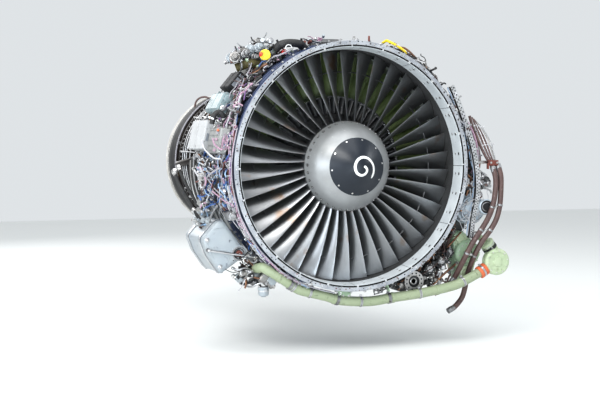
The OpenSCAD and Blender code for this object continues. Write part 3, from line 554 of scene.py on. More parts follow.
# ------------------------------------------------------------------ stage
def stage():
    s = 14.0
    zf = -1.22
    me = bpy.data.meshes.new("floor")
    pts = [(-s, -s, zf), (s, -s, zf), (s, s, zf), (-s, s, zf)]
    me.from_pydata(pts, [], [(0, 1, 2, 3)])
    fl = bpy.data.materials.new("floor_pale")
    fl.use_nodes = True
    fb = fl.node_tree.nodes["Principled BSDF"]
    fb.inputs["Base Color"].default_value = (0.80, 0.81, 0.80, 1)
    fb.inputs["Roughness"].default_value = 0.55
    me.materials.append(fl)
    ob = bpy.data.objects.new("floor", me)
    scene.collection.objects.link(ob)

    def area(name, loc, target, size, energy, color=(1, 1, 1), size_y=None):
        li = bpy.data.lights.new(name, "AREA")
        li.shape = "RECTANGLE"
        li.size, li.size_y = size, size_y or size
        li.energy = energy
        li.color = color
        o = bpy.data.objects.new(name, li)
        scene.collection.objects.link(o)
        o.location = loc
        o.rotation_euler = (Vector(target) - Vector(loc)).to_track_quat("-Z", "Y").to_euler()

    area("key_top_left", (-4.6, -3.6, 4.6), (0, 0.1, 0.1), 3.4, 320, (0.985, 0.985, 0.965), 2.6)
    area("cool_left", (-7.0, -2.6, 0.7), (0, 0.1, -0.2), 3.0, 185, (0.85, 0.925, 1.0), 2.4)
    area("low_cool", (-1.5, -5.5, -0.9), (0.1, 0.1, -0.7), 3.2, 125, (0.80, 0.91, 1.0), 0.9)
    area("top_soft", (-0.6, -0.6, 6.0), (0, 0.8, 0), 5.0, 220, (0.97, 0.985, 1.0))
    area("front_fill", (-1.2, -8.5, 2.4), (0, 0, 0), 4.0, 66, (0.98, 0.99, 1.0), 3.0)
    area("right_rim", (6.0, -1.8, 3.4), (0.6, 0.5, 0), 2.4, 95, (0.93, 0.97, 1.0))
    area("back_soft", (-2.0, 8.0, 3.0), (0, 1.5, 0), 4.0, 160, (1.0, 1.0, 1.0))
    w = bpy.data.worlds.new("studio")
    scene.world = w
    w.use_nodes = True
    w.node_tree.nodes["Background"].inputs["Color"].default_value = (0.88, 0.915, 0.94, 1)
    w.node_tree.nodes["Background"].inputs["Strength"].default_value = 0.78


stage()


# ------------------------------------------------------------------ fan rotor
NB = 38
PITCH = 360.0 / NB


def blade_geo(t):
    """Radius fraction t from root to tip: radius, chord, stagger, camber, thickness, station of mid chord."""
    r = 0.2990 + t * (0.7612 - 0.2990)
    chord = 0.122 + 0.030 * t
    stag = math.radians(6.0 + 56.5 * t ** 0.86)
    camber = 0.085 * (1 - t) ** 1.2 + 0.014
    thick = 0.0120 * (1 - t) ** 1.2 + 0.0042
    return r, chord, stag, camber, thick, 0.2125 + 0.005 * t


def blade_point(t, u, side):
    r, ch, s, cam, th, y0 = blade_geo(t)
    w = max(0.0, 1 - (2 * u) ** 2)
    b = cam * ch * w + side * 0.5 * th * w ** 0.62 * (1 - 0.35 * u)
    x = ch * u * math.sin(s) + b * math.cos(s)
    y = y0 + ch * u * math.cos(s) - b * math.sin(s)
    a = x / r
    return (r * math.sin(a), y, r * math.cos(a))


def turn(vs, deg):
    a = math.radians(deg)
    v = np.asarray(vs, float)
    x = v[:, 0] * math.cos(a) + v[:, 2] * math.sin(a)
    z = -v[:, 0] * math.sin(a) + v[:, 2] * math.cos(a)
    return np.stack([x, v[:, 1], z], 1)


def fan_blades():
    p = Part("fan_blades_detailed", ["blade", "blade_edge"])
    ns, nu = 15, 11
    us = [-0.5 + 0.5 * (1 - math.cos(math.pi * k / (nu - 1))) for k in range(nu)]
    loop = [(u, 1) for u in us] + [(u, -1) for u in us[-2:0:-1]]
    L = len(loop)
    vs = [blade_point(j / (ns - 1), u, s) for j in range(ns) for u, s in loop]
    fs = []
    for j in range(ns - 1):
        for k in range(L):
            k2 = (k + 1) % L
            fs.append((j * L + k, (j + 1) * L + k, (j + 1) * L + k2, j * L + k2))
    fs.append(tuple((ns - 1) * L + k for k in range(L))[::-1])
    # mid-span shroud, from this blade to the next one, in two halves with a seam between
    tm = (0.620 - 0.2990) / (0.7612 - 0.2990)
    r0 = 0.620
    sv, sf = [], []

    def strip(f0, f1):
        base = len(sv)
        K = 4
        for i in range(K + 1):
            f = f0 + (f1 - f0) * i / K
            a = math.radians(PITCH * f)
            for (du, dr) in ((-0.105, 0.0), (-0.06, 0.0042), (0.06, 0.0042), (0.105, 0.0), (0.06, -0.0042), (-0.06, -0.0042)):
                r, ch, s, cam, th, y0 = blade_geo(tm)
                x = ch * du * math.sin(s)
                y = y0 + ch * du * math.cos(s)
                aa = a + x / r0
                rr = r0 + dr + 0.004 * math.sin(math.pi * f)
                sv.append((rr * math.sin(aa), y, rr * math.cos(aa)))
        for i in range(K):
            for k in range(6):
                k2 = (k + 1) % 6
                sf.append((base + i * 6 + k, base + (i + 1) * 6 + k, base + (i + 1) * 6 + k2, base + i * 6 + k2))
        sf.append(tuple(base + k for k in range(6)))
        sf.append(tuple(base + K * 6 + k for k in range(6))[::-1])

    strip(0.0, 0.494)
    strip(0.506, 1.0)
    for i in range(NB):
        p.raw(turn(vs, i * PITCH + 2.3), fs, 0)
        p.raw(turn(sv, i * PITCH + 2.3), sf, 0)
    p.done("fan_rotor", ["fan_blades"], "blade_titanium", 50.0)
    # platforms between the blade roots
    q = Part("blade_platforms", ["blade", "dark"])
    for i in range(NB):
        a0 = i * PITCH + 2.3
        for k in range(1):
            prof = [(0.2995, 0.1505), (0.3000, 0.2900)]
            vs2, fs2 = [], []
            for j in range(7):
                f = (j + 0.12) / 6.24 if 0 < j < 6 else (0.03 if j == 0 else 0.97)
                for r, y in prof:
                    a = math.radians(a0 + f * PITCH)
                    vs2.append(((r + 0.0006) * math.sin(a), y, (r + 0.0006) * math.cos(a)))
            for j in range(6):
                fs2.append((2 * j, 2 * j + 1, 2 * j + 3, 2 * j + 2))
            q.raw(vs2, fs2, 0)
    q.done("fan_rotor", slot="blade_titanium")


SPIN_FRONT = [(0.0, -0.1300), (0.012, -0.1293), (0.028, -0.1268), (0.048, -0.1205), (0.070, -0.1100), (0.095, -0.0955),
              (0.120, -0.0790), (0.145, -0.0605), (0.168, -0.0430), (0.185, -0.0292), (0.1886, -0.0262)]
SPIN_REAR = [(0.1888, -0.0258), (0.1900, -0.0248), (0.206, -0.0085), (0.222, 0.0080), (0.239, 0.0275), (0.2545, 0.0470), (0.269, 0.0700),
             (0.281, 0.0940), (0.2905, 0.1180), (0.2975, 0.1400), (0.2985, 0.1440), (0.2985, 0.1492)]


def surf_y(r):
    pr = SPIN_FRONT + SPIN_REAR
    for (r0, y0), (r1, y1) in zip(pr, pr[1:]):
        if r0 <= r <= r1 and r1 > r0:
            return y0 + (y1 - y0) * (r - r0) / (r1 - r0)
    return pr[-1][1]


def smooth_prof(pr, m=4):
    q = spline([(r, y, 0) for r, y in pr], m)
    return [(max(0.0, a[0]), a[1]) for a in q]


def spinner():
    f = Part("spinner_front_cap", ["cap_black", "screw_dark", "bolt"])
    pr = smooth_prof(SPIN_FRONT, 3)
    f.lathe(pr + [(0.182, -0.0262)], (0, 0, 0), (0, 1, 0), 96, 0)
    for i in range(10):
        a = 36 * i + 11
        r = 0.1755
        y = surf_y(r)
        n = unit(np.array(cp(a, 0.64, 0)) + np.array((0, -0.77, 0)))
        o = np.array(cp(a, r, y)) - n * 0.0003
        f.lathe([(0.0065, 0.0), (0.0060, 0.0016), (0.003, 0.0016), (0.0026, 0.0006), (0, 0.0006)], o, n, 12, 2)
    f.done("fan_rotor", ["spinner_front_cone"], "spinner_black", 40.0)

    b = Part("spinner_rear_cone_detailed", ["spinner", "dark"])
    pr = smooth_prof(SPIN_REAR, 3)
    b.lathe(pr, (0, 0, 0), (0, 1, 0), 144, 0)
    # dark ring where the cap meets the cone: painted shade in the gap between them
    b.ring([(0.1884, -0.0262), (0.1898, -0.0248), (0.187, -0.022)], 96, 1)
    b.done("fan_rotor", ["spinner_rear_cone"], "spinner_grey", 40.0)

    s = Part("spinner_screw_heads", ["bolt", "screw_dark"])
    for i in range(36):
        a = 10 * i + 2
        r, y = 0.2885, surf_y(0.2885)
        n = unit(np.array(cp(a, 0.94, 0)) + np.array((0, -0.34, 0)))
        o = np.array(cp(a, r, y)) - n * 0.0004
        s.lathe([(0.0098, 0.0), (0.0094, 0.0011), (0.0070, 0.0011), (0.0068, 0.0006)], o, n, 14, 1, c1=False)
        s.lathe([(0.0066, 0.0), (0.0062, 0.0026), (0.0032, 0.0028), (0.0026, 0.0008), (0, 0.0008)], o, n, 12, 0)
    s.done("fan_rotor", ["spinner_screws"], "bare_steel", 40.0)

    # white swirl: angle from the right, anticlockwise, and radius
    w = Part("spinner_swirl", ["white_paint"])
    key = [(70, 0.006), (20, 0.015), (-28, 0.030), (-65, 0.041), (-103, 0.049), (-144, 0.052), (-188, 0.055), (-230, 0.061),
           (-267, 0.068), (-306, 0.072), (-348, 0.079), (-380, 0.089), (-404, 0.098)]
    ctr = np.array((0.006, -0.006))
    path = [np.array((rr * math.cos(math.radians(a)), rr * math.sin(math.radians(a)), 0)) for a, rr in key]
    q = spline(path, 10)
    vs, fs = [], []
    for i, pt in enumerate(q):
        t = unit(q[min(i + 1, len(q) - 1)] - q[max(i - 1, 0)])
        n = np.array((-t[1], t[0], 0))
        e = i / (len(q) - 1)
        hw = 0.0082 * min(1.0, (0.35 + e * 14)) * min(1.0, 0.30 + (1 - e) * 16)
        for k in (-1, -0.33, 0.33, 1):
            x, z = (pt + n * hw * k)[:2] + ctr
            r = math.hypot(x, z)
            vs.append((x, surf_y(r) - 0.0009, z))
    for i in range(len(q) - 1):
        for k in range(3):
            fs.append((i * 4 + k, i * 4 + k + 1, (i + 1) * 4 + k + 1, (i + 1) * 4 + k))
    w.raw(vs, fs, 0)
    w.done("fan_rotor", slot="spinner_black")


fan_blades()
spinner()


# ------------------------------------------------------------------ inlet ring
def inlet():
    p = Part("inlet_liner_detailed", ["liner", "edge_bright", "dark", "screw_dark", "bolt"])
    # six liner panels, with a thin joint line between them
    for i in range(12):
        a0, a1 = i * 30 + 0.12, (i + 1) * 30 - 0.12
        p.ring([(0.7746, 0.0034), (0.7752, 0.0008), (0.7760, 0.0), (0.7778, 0.0), (0.7780, 0.0120), (0.7762, 0.1130), (0.7650, 0.1130), (0.7710, 0.0400)],
               20, 0, a0=a0, a1=a1)
    # dark ring behind the panels, seen through the joints between them: painted shade in the gaps
    p.ring([(0.7768, 0.002), (0.7776, 0.002), (0.7776, 0.112), (0.7662, 0.1125), (0.7715, 0.040)], 144, 2)
    rnd = random.Random(3)
    for i in range(24):
        a0 = i * 15 - 1.6 - 90 + rnd.uniform(-.8, .8)
        p.ring([(0.7777, -0.0002), (0.7885, -0.0009), (0.7885, 0.002), (0.7777, 0.003)], 4, 1, a0=a0, a1=a0 + rnd.uniform(.5, 1.3))
    for i in range(36):
        for y, rr, r in ((0.040, 0.7710, .0084), (0.086, 0.7678, .0084)):
            a = 10 * i + 4
            o = cp(a, rr, y)
            d = -np.array(cp(a, 1, 0))
            # each hole is a bolt-metal rim round a dark disc; the dark disc is painted shade inside the hole
            p.lathe([(r * 1.35, 0), (r * 1.30, 0.0008), (r, 0.0008)], o, d, 14, 4, c0=False, c1=False)
            p.lathe([(r, 0), (r, 0.0006), (0, 0.0006)], o, d, 12, 2)
    p.done("engine", ["inlet_liner"], "light_alloy", 40.0)
    # near-black floor of the slot between lip and flange: painted shade in the slot
    s = Part("inlet_slot_floor", ["slot"])
    s.ring([(0.7777, 0.0010), (0.7856, 0.0002), (0.7859, -0.0005), (0.7884, -0.0005), (0.7886, 0.0002), (0.7864, 0.006), (0.7777, 0.006)], 192, 0)
    s.done("engine", slot="abradable")
    # holes, rivets and nut plates of the flange face, unevenly set; the holes are dark discs, painted shade inside them
    r = Part("flange_rivets", ["bolt", "flange", "screw_dark", "dark", "edge_bright", "redbrown"])
    rnd = random.Random(4)
    a = 0.4
    while a < 359.6:
        k = rnd.random()
        o = cp(a, rnd.choice((.790, .7935, .800, .8085, .8105)), 0.0)
        if k < .50:
            q = rnd.uniform(.0022, .0052)
            r.lathe([(q, 0), (q, 0.0003), (0, 0.0003)], o, (0, -1, 0), 9, 3)
            if rnd.random() < .3:
                r.ring([(q, -0.0006), (q + .0016, -0.0006), (q + .0016, 0.0003), (q, 0.0003)], 12, 4, o=o, axis=(0, 1, 0))
        elif k < .80:
            q = rnd.uniform(.0024, .0040)
            r.lathe([(q, 0), (q * .85, 0.0012), (0, 0.0014)], o, (0, -1, 0), 8, 0)
        elif k < .92:
            r.bolt(cp(a, .802, 0.0), (0, -1, 0), rnd.uniform(.0036, .0052), .004, 0)
        else:
            q = rnd.uniform(.003, .005)
            r.lathe([(q, 0), (q * .8, 0.0005), (0, 0.0006)], o, (0, -1, 0), 9, 5)
        a += rnd.uniform(0.9, 2.3)
    for i in range(24):
        r.ring([(0.0058, -0.0006), (0.0082, -0.0006), (0.0082, 0.0004), (0.0058, 0.0004)], 14, 0, o=cp(15 * i + 7.5, 0.804, 0.0), axis=(0, 1, 0))
    r.done("engine", slot="bare_steel")


inlet()


# ------------------------------------------------------------------ stationary fan parts seen through the fan
def vane_row(p, n, r0, r1, y0, chord, s0, s1, thick, m, cam=0.08, ph=0.0, nr=5, nu=7, flip=1.0):
    us = [-0.5 + 0.5 * (1 - math.cos(math.pi * k / (nu - 1))) for k in range(nu)]
    loop = [(u, 1) for u in us] + [(u, -1) for u in us[-2:0:-1]]
    L = len(loop)
    vs = []
    for j in range(nr):
        t = j / (nr - 1)
        r = r0 + (r1 - r0) * t
        s = math.radians(s0 + (s1 - s0) * t)
        for u, sd in loop:
            w = max(0.0, 1 - (2 * u) ** 2)
            b = cam * chord * w + sd * 0.5 * thick * w ** 0.6
            x = flip * (chord * u * math.sin(s) + b * math.cos(s))
            y = y0 + chord * u * math.cos(s) - b * math.sin(s)
            vs.append((r * math.sin(x / r), y, r * math.cos(x / r)))
    fs = []
    for j in range(nr - 1):
        for k in range(L):
            k2 = (k + 1) % L
            q = (j * L + k, (j + 1) * L + k, (j + 1) * L + k2, j * L + k2)
            fs.append(q if flip > 0 else q[::-1])
    for i in range(n):
        p.raw(turn(vs, ph + i * 360.0 / n), fs, m)


def behind_fan():
    p = Part("outlet_guide_vanes_detailed", ["vane_green", "green"])
    vane_row(p, 72, 0.4795, 0.7758, 0.572, 0.104, 34, 30, 0.007, 0, 0.16, flip=-1.0)
    p.ring([(0.4784, 0.528), (0.4812, 0.528), (0.4812, 0.612), (0.4784, 0.612)], 144, 1)
    p.done("engine", ["outlet_guide_vanes"], "green_primer", 45.0)
    q = Part("booster_vanes_detailed", ["dull_steel", "edge_bright", "dark"])
    vane_row(q, 84, 0.354, 0.4625, 0.410, 0.040, 26, 20, 0.0038, 0, 0.10, flip=-1.0)
    q.ring([(0.4630, 0.396), (0.4656, 0.396), (0.4656, 0.424), (0.4630, 0.424)], 144, 1)
    for k in range(3):
        vane_row(q, 60, 0.356, 0.4555, 0.468 + 0.045 * k, 0.024, 25, 25, 0.003, 0, 0.06)
        q.ring([(0.4545, 0.462 + 0.045 * k), (0.4576, 0.462 + 0.045 * k), (0.4576, 0.474 + 0.045 * k), (0.4545, 0.474 + 0.045 * k)], 96, 0)
    q.done("engine", ["booster_vanes"], "bare_steel", 45.0)
    s = Part("splitter_lip", ["edge_bright"])
    s.ring([(0.4670, 0.3905), (0.4685, 0.3785), (0.4700, 0.3765), (0.4716, 0.3785), (0.4748, 0.3905), (0.4742, 0.394), (0.468, 0.394)], 144, 0)
    s.done("engine", slot="light_alloy")


behind_fan()

for node, m in {
    "fan_inlet_case": "case_two", "fan_shroud_ring": "abradable", "aft_acoustic_liner": "liner", "case_flange_bolts": "bolt",
    "fan_frame": "frame_alu", "splitter_case": "dull_steel", "booster_bleed_ring": "dull_steel", "fan_disk": "blade",
    "booster_rotor": "dull_steel", "low_pressure_shaft": "steel", "low_pressure_turbine_rotor": "hot", "main_bearings": "steel",
    "high_pressure_compressor_rotor": "titan", "high_pressure_turbine_rotor": "hot", "compressor_case": "titan",
    "compressor_vanes": "titan", "vane_unison_ring": "steel", "vane_actuator": "dull_steel", "vane_actuator_rod": "steel",
    "combustion_case": "hot_blue", "combustor_liner": "hot", "fuel_nozzles": "steel", "fuel_manifold": "steel",
    "turbine_nozzle_ring": "hot", "low_pressure_turbine_case": "hot", "low_pressure_turbine_vanes": "hot",
    "turbine_cooling_tubes": "steel", "turbine_rear_frame": "hot", "exhaust_nozzle": "nozzle_two", "exhaust_plug": "hot_blue",
    "radial_drive_shaft": "steel", "transfer_gearbox": "frame_alu", "accessory_gearbox": "gear_dark", "input_gear": "steel",
    "idler_gear": "steel", "pump_gear": "steel", "generator_gear": "steel", "starter_gear": "steel", "starter": "starter_paint",
    "generator_housing": "green", "fuel_control": "frame_alu", "fuel_control_lever": "steel", "oil_tank": "tank",
    "oil_tank_cap": "redbrown", "oil_filter": "dull_steel", "lower_air_duct": "green_pale", "fuel_hoses": "hose",
    "wiring_and_tubes": "whitebraid", "control_boxes": "box_white", "valve_group": "dull_steel", "pipe_clamps": "orange",
    "forward_mount": "dull_steel", "aft_mount": "dull_steel",
}.items():
    dress(node, m)


# ------------------------------------------------------------------ front flange skin
def flange_skin():
    """Turned edges of the front flange: bright inner corner, rim with a small chamfer."""
    e = Part("flange_rim", ["flange", "edge_bright"])
    e.ring([(0.8148, 0.0002), (0.8156, 0.0010), (0.8161, 0.0020), (0.8161, 0.0118), (0.8148, 0.0124)], 192, 0)
    e.ring([(0.7885, 0.0008), (0.7888, -0.0007), (0.7898, -0.0007), (0.7902, 0.0008)], 192, 1)
    e.done("engine", slot="light_alloy")


flange_skin()

# ------------------------------------------------------------------ placing helpers for the dressings
EYE = np.array((-2.9892, -7.3744, 0.1718))
FW = unit((0.33318, 0.94160, -0.04887))
RT = unit(np.cross(FW, (0, 0, 1)))
UP = np.cross(RT, FW)


def sight(u, v, y):
    """World point at station y on the line of sight through the view position u, v."""
    d = FW + RT * (u - 300) / 1224 - UP * (v - 200) / 1224
    return EYE + d * ((y - EYE[1]) / d[1])


def S(*uvy):
    return [sight(*q) for q in uvy]


def C(*cry):
    return [np.array(cp(*q)) for q in cry]


def nuts(p, q, r, m):
    """Coupling nuts at both ends of a pipe."""
    for a, b in ((q[0], q[1]), (q[-1], q[-2])):
        t = unit(np.asarray(b) - np.asarray(a))
        p.lathe([(r * 1.25, 0), (r * 1.8, r * 0.3), (r * 1.8, r * 2.4), (r * 1.35, r * 2.8), (r * 1.35, r * 4.0), (r * 1.02, r * 4.2)], a, t, 6, m)


def pipe(p, q, r, m, mn=None, n=10, k=6):
    p.tube(q, r, m, n, k)
    if mn is not None:
        nuts(p, q, r, mn)


def plug(p, o, axis, r=0.014, l=0.035, m=0, mr=0, mc=None, tail=None):
    """Round cable connector; a cable leaves it towards tail."""
    o, ez = np.asarray(o, float), unit(axis)
    p.lathe([(r * 1.5, 0), (r * 1.5, l * 0.08), (r, l * 0.1), (r, l * 0.2)], o, ez, 14, m)
    pr = []
    for i in range(5):
        pr += [(r * 1.25, l * (0.2 + 0.06 * i)), (r * 1.18, l * (0.23 + 0.06 * i))]
    p.lathe([(r, l * 0.2)] + pr + [(r, l * 0.52), (r * 0.8, l * 0.6), (r * 0.75, l)], o, ez, 14, mr)
    if tail is not None:
        a = o + ez * l
        p.tube([o + ez * l * 0.9, a + ez * 0.03] + [np.asarray(t, float) for t in tail], r * 0.55, mc, 8, 5)


def valve(p, o, axis, r, l, m, mb, n=22):
    """Turned valve body with a bolted flange and an end boss."""
    o, ez = np.asarray(o, float), unit(axis)
    p.lathe([(0.55 * r, 0), (0.55 * r, .10 * l), (.72 * r, .11 * l), (.95 * r, .14 * l), (r, .18 * l), (r, .25 * l), (.84 * r, .28 * l), (.82 * r, .46 * l),
             (1.14 * r, .47 * l), (1.18 * r, .48 * l), (1.18 * r, .54 * l), (1.14 * r, .55 * l), (.80 * r, .57 * l), (.78 * r, .80 * l), (.70 * r, .84 * l),
             (.50 * r, .87 * l), (.50 * r, .96 * l), (.42 * r, l), (0, l)], o, ez, n, m)
    ex = unit(np.cross(ez, (0.3, 0.5, 0.81)))
    ey = np.cross(ez, ex)
    for i in range(8):
        a = math.pi * i / 4
        p.bolt(o + ez * .55 * l + r * 1.0 * (math.cos(a) * ex + math.sin(a) * ey), ez, r * 0.1 + 0.001, 0.004, mb, False)


def ribbed(p, o, axis, r, l, m, ribs=7, n=24):
    pr = [(r * 0.5, 0), (r * 0.86, 0.002)]
    for i in range(ribs):
        a, b = l * (0.06 + 0.88 * i / ribs), l * (0.06 + 0.88 * (i + 0.5) / ribs)
        pr += [(r * 0.86, a), (r, a + 0.001), (r, b), (r * 0.86, b + 0.001)]
    pr += [(r * 0.8, l), (0, l)]
    p.lathe(pr, o, axis, n, m)


def ebox(p, c, R0, R1, y0, y1, w, m, mb, ribs=0, lid=0.004, bev=0.006, spin=0.0):
    """Equipment box on feet: screwed front lid, seam, ribs along its outer face."""
    p.at(c, R0, y0, spin)
    h, d = R1 - R0, y1 - y0
    p.box((0, d / 2, h / 2), (w, d, h), m, bev)
    p.box((0, -lid / 2, h / 2), (w - 0.012, lid, h - 0.012), m, 0.0018)
    nx = max(2, int(w / 0.045))
    for i in range(nx + 1):
        for s in (-1, 1):
            p.bolt((-(w / 2 - 0.013) + (w - 0.026) * i / nx, -lid, h / 2 + s * (h / 2 - 0.012)), (0, -1, 0), 0.0030, 0.0026, mb)
    for i in range(ribs):
        x = -w / 2 + w * (i + 0.5) / ribs
        p.box((x, d / 2, h + 0.003), (0.0035, d - 0.03, 0.008), m, 0.001)
    p.box((0, d * 0.52, h / 2), (w + 0.003, 0.0035, h + 0.003), m, 0.001)
    for sx in (-1, 1):
        for fy in (0.14, 0.86):
            p.box((sx * (w / 2 + 0.009), d * fy, 0.005), (0.026, 0.030, 0.010), m, 0.002)
            p.bolt((sx * (w / 2 + 0.011), d * fy, 0.010), (0, 0, 1), 0.005, 0.005, mb)


def slab_y(p, outline, y0, y1, m, fil=0.006, cap=True):
    """Block between two stations with an X-Z outline, counted anticlockwise, its end edges rounded."""
    q = np.asarray(outline, float)
    n = len(q)
    e = np.roll(q, -1, 0) - q
    nrm = np.stack([e[:, 1], -e[:, 0]], 1)
    nrm /= np.linalg.norm(nrm, axis=1)[:, None] + 1e-12
    area = 0.5 * np.sum(q[:, 0] * np.roll(q[:, 1], -1) - np.roll(q[:, 0], -1) * q[:, 1])
    if area < 0:
        nrm = -nrm
    vn = nrm + np.roll(nrm, 1, 0)
    vn /= np.linalg.norm(vn, axis=1)[:, None] + 1e-12
    vs, L = [], []
    d = 1 if y1 > y0 else -1
    for ins, y in ((fil, y0), (fil * 0.35, y0 + d * fil * 0.22), (0.0, y0 + d * fil), (0.0, y1 - d * fil), (fil * 0.35, y1 - d * fil * 0.22), (fil, y1)):
        w = q - vn * ins
        for a in w:
            vs.append((a[0], y, a[1]))
    fs = []
    for j in range(5):
        for k in range(n):
            k2 = (k + 1) % n
            fs.append((j * n + k, j * n + k2, (j + 1) * n + k2, (j + 1) * n + k))
    if cap:
        fs.append(tuple(range(n))[::-1])
        fs.append(tuple(5 * n + k for k in range(n)))
    p.raw(vs, fs, m)


def hull_pts(circles, n=28):
    """Outline round a chain of circles (x, z, r)."""
    pts = []
    for x, z, r in circles:
        for k in range(n):
            a = 2 * math.pi * k / n
            pts.append((x + r * math.cos(a), z + r * math.sin(a)))
    pts = sorted(set((round(a, 6), round(b, 6)) for a, b in pts))

    def half(seq):
        h = []
        for q in seq:
            while len(h) > 1 and (h[-1][0] - h[-2][0]) * (q[1] - h[-2][1]) - (h[-1][1] - h[-2][1]) * (q[0] - h[-2][0]) <= 0:
                h.pop()
            h.append(q)
        return h

    lo, up = half(pts), half(pts[::-1])
    return lo[:-1] + up[:-1]


# ------------------------------------------------------------------ left cluster
def left_cluster():
    b = Part("control_boxes_detailed", ["box_white", "box_beige", "box_blue", "black", "window", "bolt", "steel", "rubber", "orange", "pinkbraid", "whitebraid", "blue"])
    ebox(b, 283, .838, .930, .402, .760, .196, 0, 5, ribs=0)
    b.at(283, .838, .402)
    for x, z, rr in ((-.072, .014, .007), (-.044, .014, .008), (-.012, .014, .008), (.022, .014, .008), (.056, .014, .007)):
        plug(b, (x, -.004, z), (0, -1, 0), rr, .022, 6, 5)
    b.box((-.012, -.006, .066), (.05, .002, .016), 4, .001)
    ebox(b, 281, .832, .900, .112, .370, .166, 1, 5, ribs=5)
    b.at(281, .832, .112)
    for x, z, rr in ((-.055, .016, .008), (-.020, .016, .008), (.020, .016, .008), (.052, .016, .007)):
        plug(b, (x, -.004, z), (0, -1, 0), rr, .022, 6, 5)
    rnd = random.Random(5)
    for k in range(9):
        q = [np.array((rnd.uniform(-.05, .05), -.012 - .004 * (k % 3), rnd.uniform(.0, .05))) for _ in range(5)]
        b.tube(q, .0030, (9, 9, 10, 9, 11)[k % 5], 7, 5)
    for x, mm in ((-.066, 9), (-.034, 10), (.004, 9), (.046, 10), (.064, 8)):
        b.box((x, .05, .073), (.016, .030, .012), mm, .002)
    ebox(b, 298, .836, .918, .332, .640, .146, 2, 5, ribs=0, bev=0.018)
    b.at(298, .836, .332)
    b.lathe([(.030, 0), (.030, .006), (.024, .012), (.014, .013), (.014, .02), (0, .02)], (.030, -.004, .040), (0, -1, 0), 20, 2)
    b.lathe([(.020, 0), (.020, .010), (.012, .016), (0, .016)], (-.040, -.004, .046), (0, -1, 0), 18, 6)
    ebox(b, 310, .834, .900, .432, .640, .136, 3, 5)
    b.at(310, .834, .432)
    b.box((0, -.004, .034), (.128, .006, .062), 3, .003)
    b.box((-.012, -.008, .038), (.066, .003, .034), 4, .001)
    b.box((.042, -.008, .038), (.018, .003, .034), 4, .001)
    # black hose that arches between the boxes
    b.frame()
    q = S((211.8, 124, .26), (212.8, 118.5, .255), (215.4, 113.6, .25), (218.8, 112.4, .25), (222.0, 114.2, .25), (224.0, 118.4, .255), (224.9, 124, .26))
    b.tube(q, .0165, 7, 16, 7)
    for k in (1, 5):
        b.clamp(q[k], q[k + 1] - q[k - 1], .0170, 5, .011, .002)
    for u, v, y in ((217.4, 121.5, .285), (220.6, 124, .29), (214.8, 126.5, .29)):
        plug(b, sight(u, v, y), (0, -1, 0), .0095, .030, 6, 5)
    b.done("engine", ["control_boxes"], "box_white")

    v = Part("valve_group_detailed", ["dull_steel", "steel", "bolt", "olive", "yellow", "orange", "red", "green", "rubber", "white_paint", "black", "tank", "titan"])
    # main valve block and its bodies
    v.at(322, .830, .470)
    v.box((0, .105, .040), (.118, .205, .078), 12, .012)
    v.box((0, -.004, .040), (.100, .010, .060), 0, .004)
    for x in (-.042, -.014, .014, .042):
        for z in (.018, .062):
            v.bolt((x, -.009, z), (0, -1, 0), .0042, .005, 2)
    v.frame()
    q = cp(322, .940, .445)
    valve(v, q, (0, 1, 0), .036, .150, 0, 2)
    v.tube(C((322, .905, .50), (322, .87, .50)), .022, 0, 14, 2)
    ribbed(v, sight(241, 51.5, .46), sight(229, 60, .49) - sight(241, 51.5, .46), .037, .105, 11, 8)
    v.lathe([(.018, 0), (.018, .02), (.012, .024), (.012, .04), (0, .04)], sight(229, 60, .49), sight(226, 62, .49) - sight(229, 60, .49), 14, 1)
    valve(v, sight(247, 52, .50), (0.1, -1, 0.15), .034, .120, 11, 2)
    valve(v, sight(254, 58, .46), (-0.1, -1, 0.05), .026, .100, 0, 2)
    ribbed(v, sight(250, 47, .47), (0, -.3, 1), .016, .030, 1, 3, 14)
    pipe(v, S((236, 68, .44), (244, 65, .42), (252, 63, .40), (262, 66, .40), (266, 72, .42)), .0285, 3, None, 16, 8)
    for u, w in ((240.5, 66.6), (248, 64.2), (256, 63.4), (262, 66)):
        v.clamp(sight(u, w, .408), sight(u + 4, w, .41) - sight(u, w, .41), .0292, 1, .008, .0015)
    valve(v, sight(234.5, 58.5, .435), (-.25, -1, .10), .031, .100, 12, 2)
    valve(v, sight(243.0, 55.5, .425), (.15, -1, .25), .024, .090, 0, 2)
    valve(v, sight(256.5, 50.0, .415), (.05, -1, .30), .027, .095, 11, 2)
    ribbed(v, sight(262, 53.5, .40), sight(253, 57.5, .42) - sight(262, 53.5, .40), .019, .060, 12, 6)
    # small bosses on the case near the top
    o = cp(330, .880, .330)
    v.lathe([(.030, .10), (.030, .02), (.026, .012), (.026, .0), (.018, -.006), (0, -.006)], o, (0, 1, 0), 24, 11)
    for i in range(6):
        a = i * math.pi / 3
        v.bolt(np.array(o) + np.array((.023 * math.cos(a), -.0005, .023 * math.sin(a))), (0, -1, 0), .003, .004, 2, False)
    # yellow disc tag with its orange-red bit
    o = sight(265.2, 54.9, .285)
    v.lathe([(.033, .010), (.036, .008), (.036, -.002), (.033, -.004), (.030, -.0045), (0, -.0050)], o, (0.35, 1, 0.2), 30, 4)
    v.box(tuple(o + np.array((-.030, -.008, .008))), (.024, .010, .020), 5, .004, ((0, 1, 0), 30))
    v.box(tuple(o + np.array((-.036, -.010, -.004))), (.016, .010, .014), 6, .003)
    v.lathe([(.018, .09), (.018, .012), (.022, .010), (.022, .006)], o, (0.1, 1, 0), 14, 1)
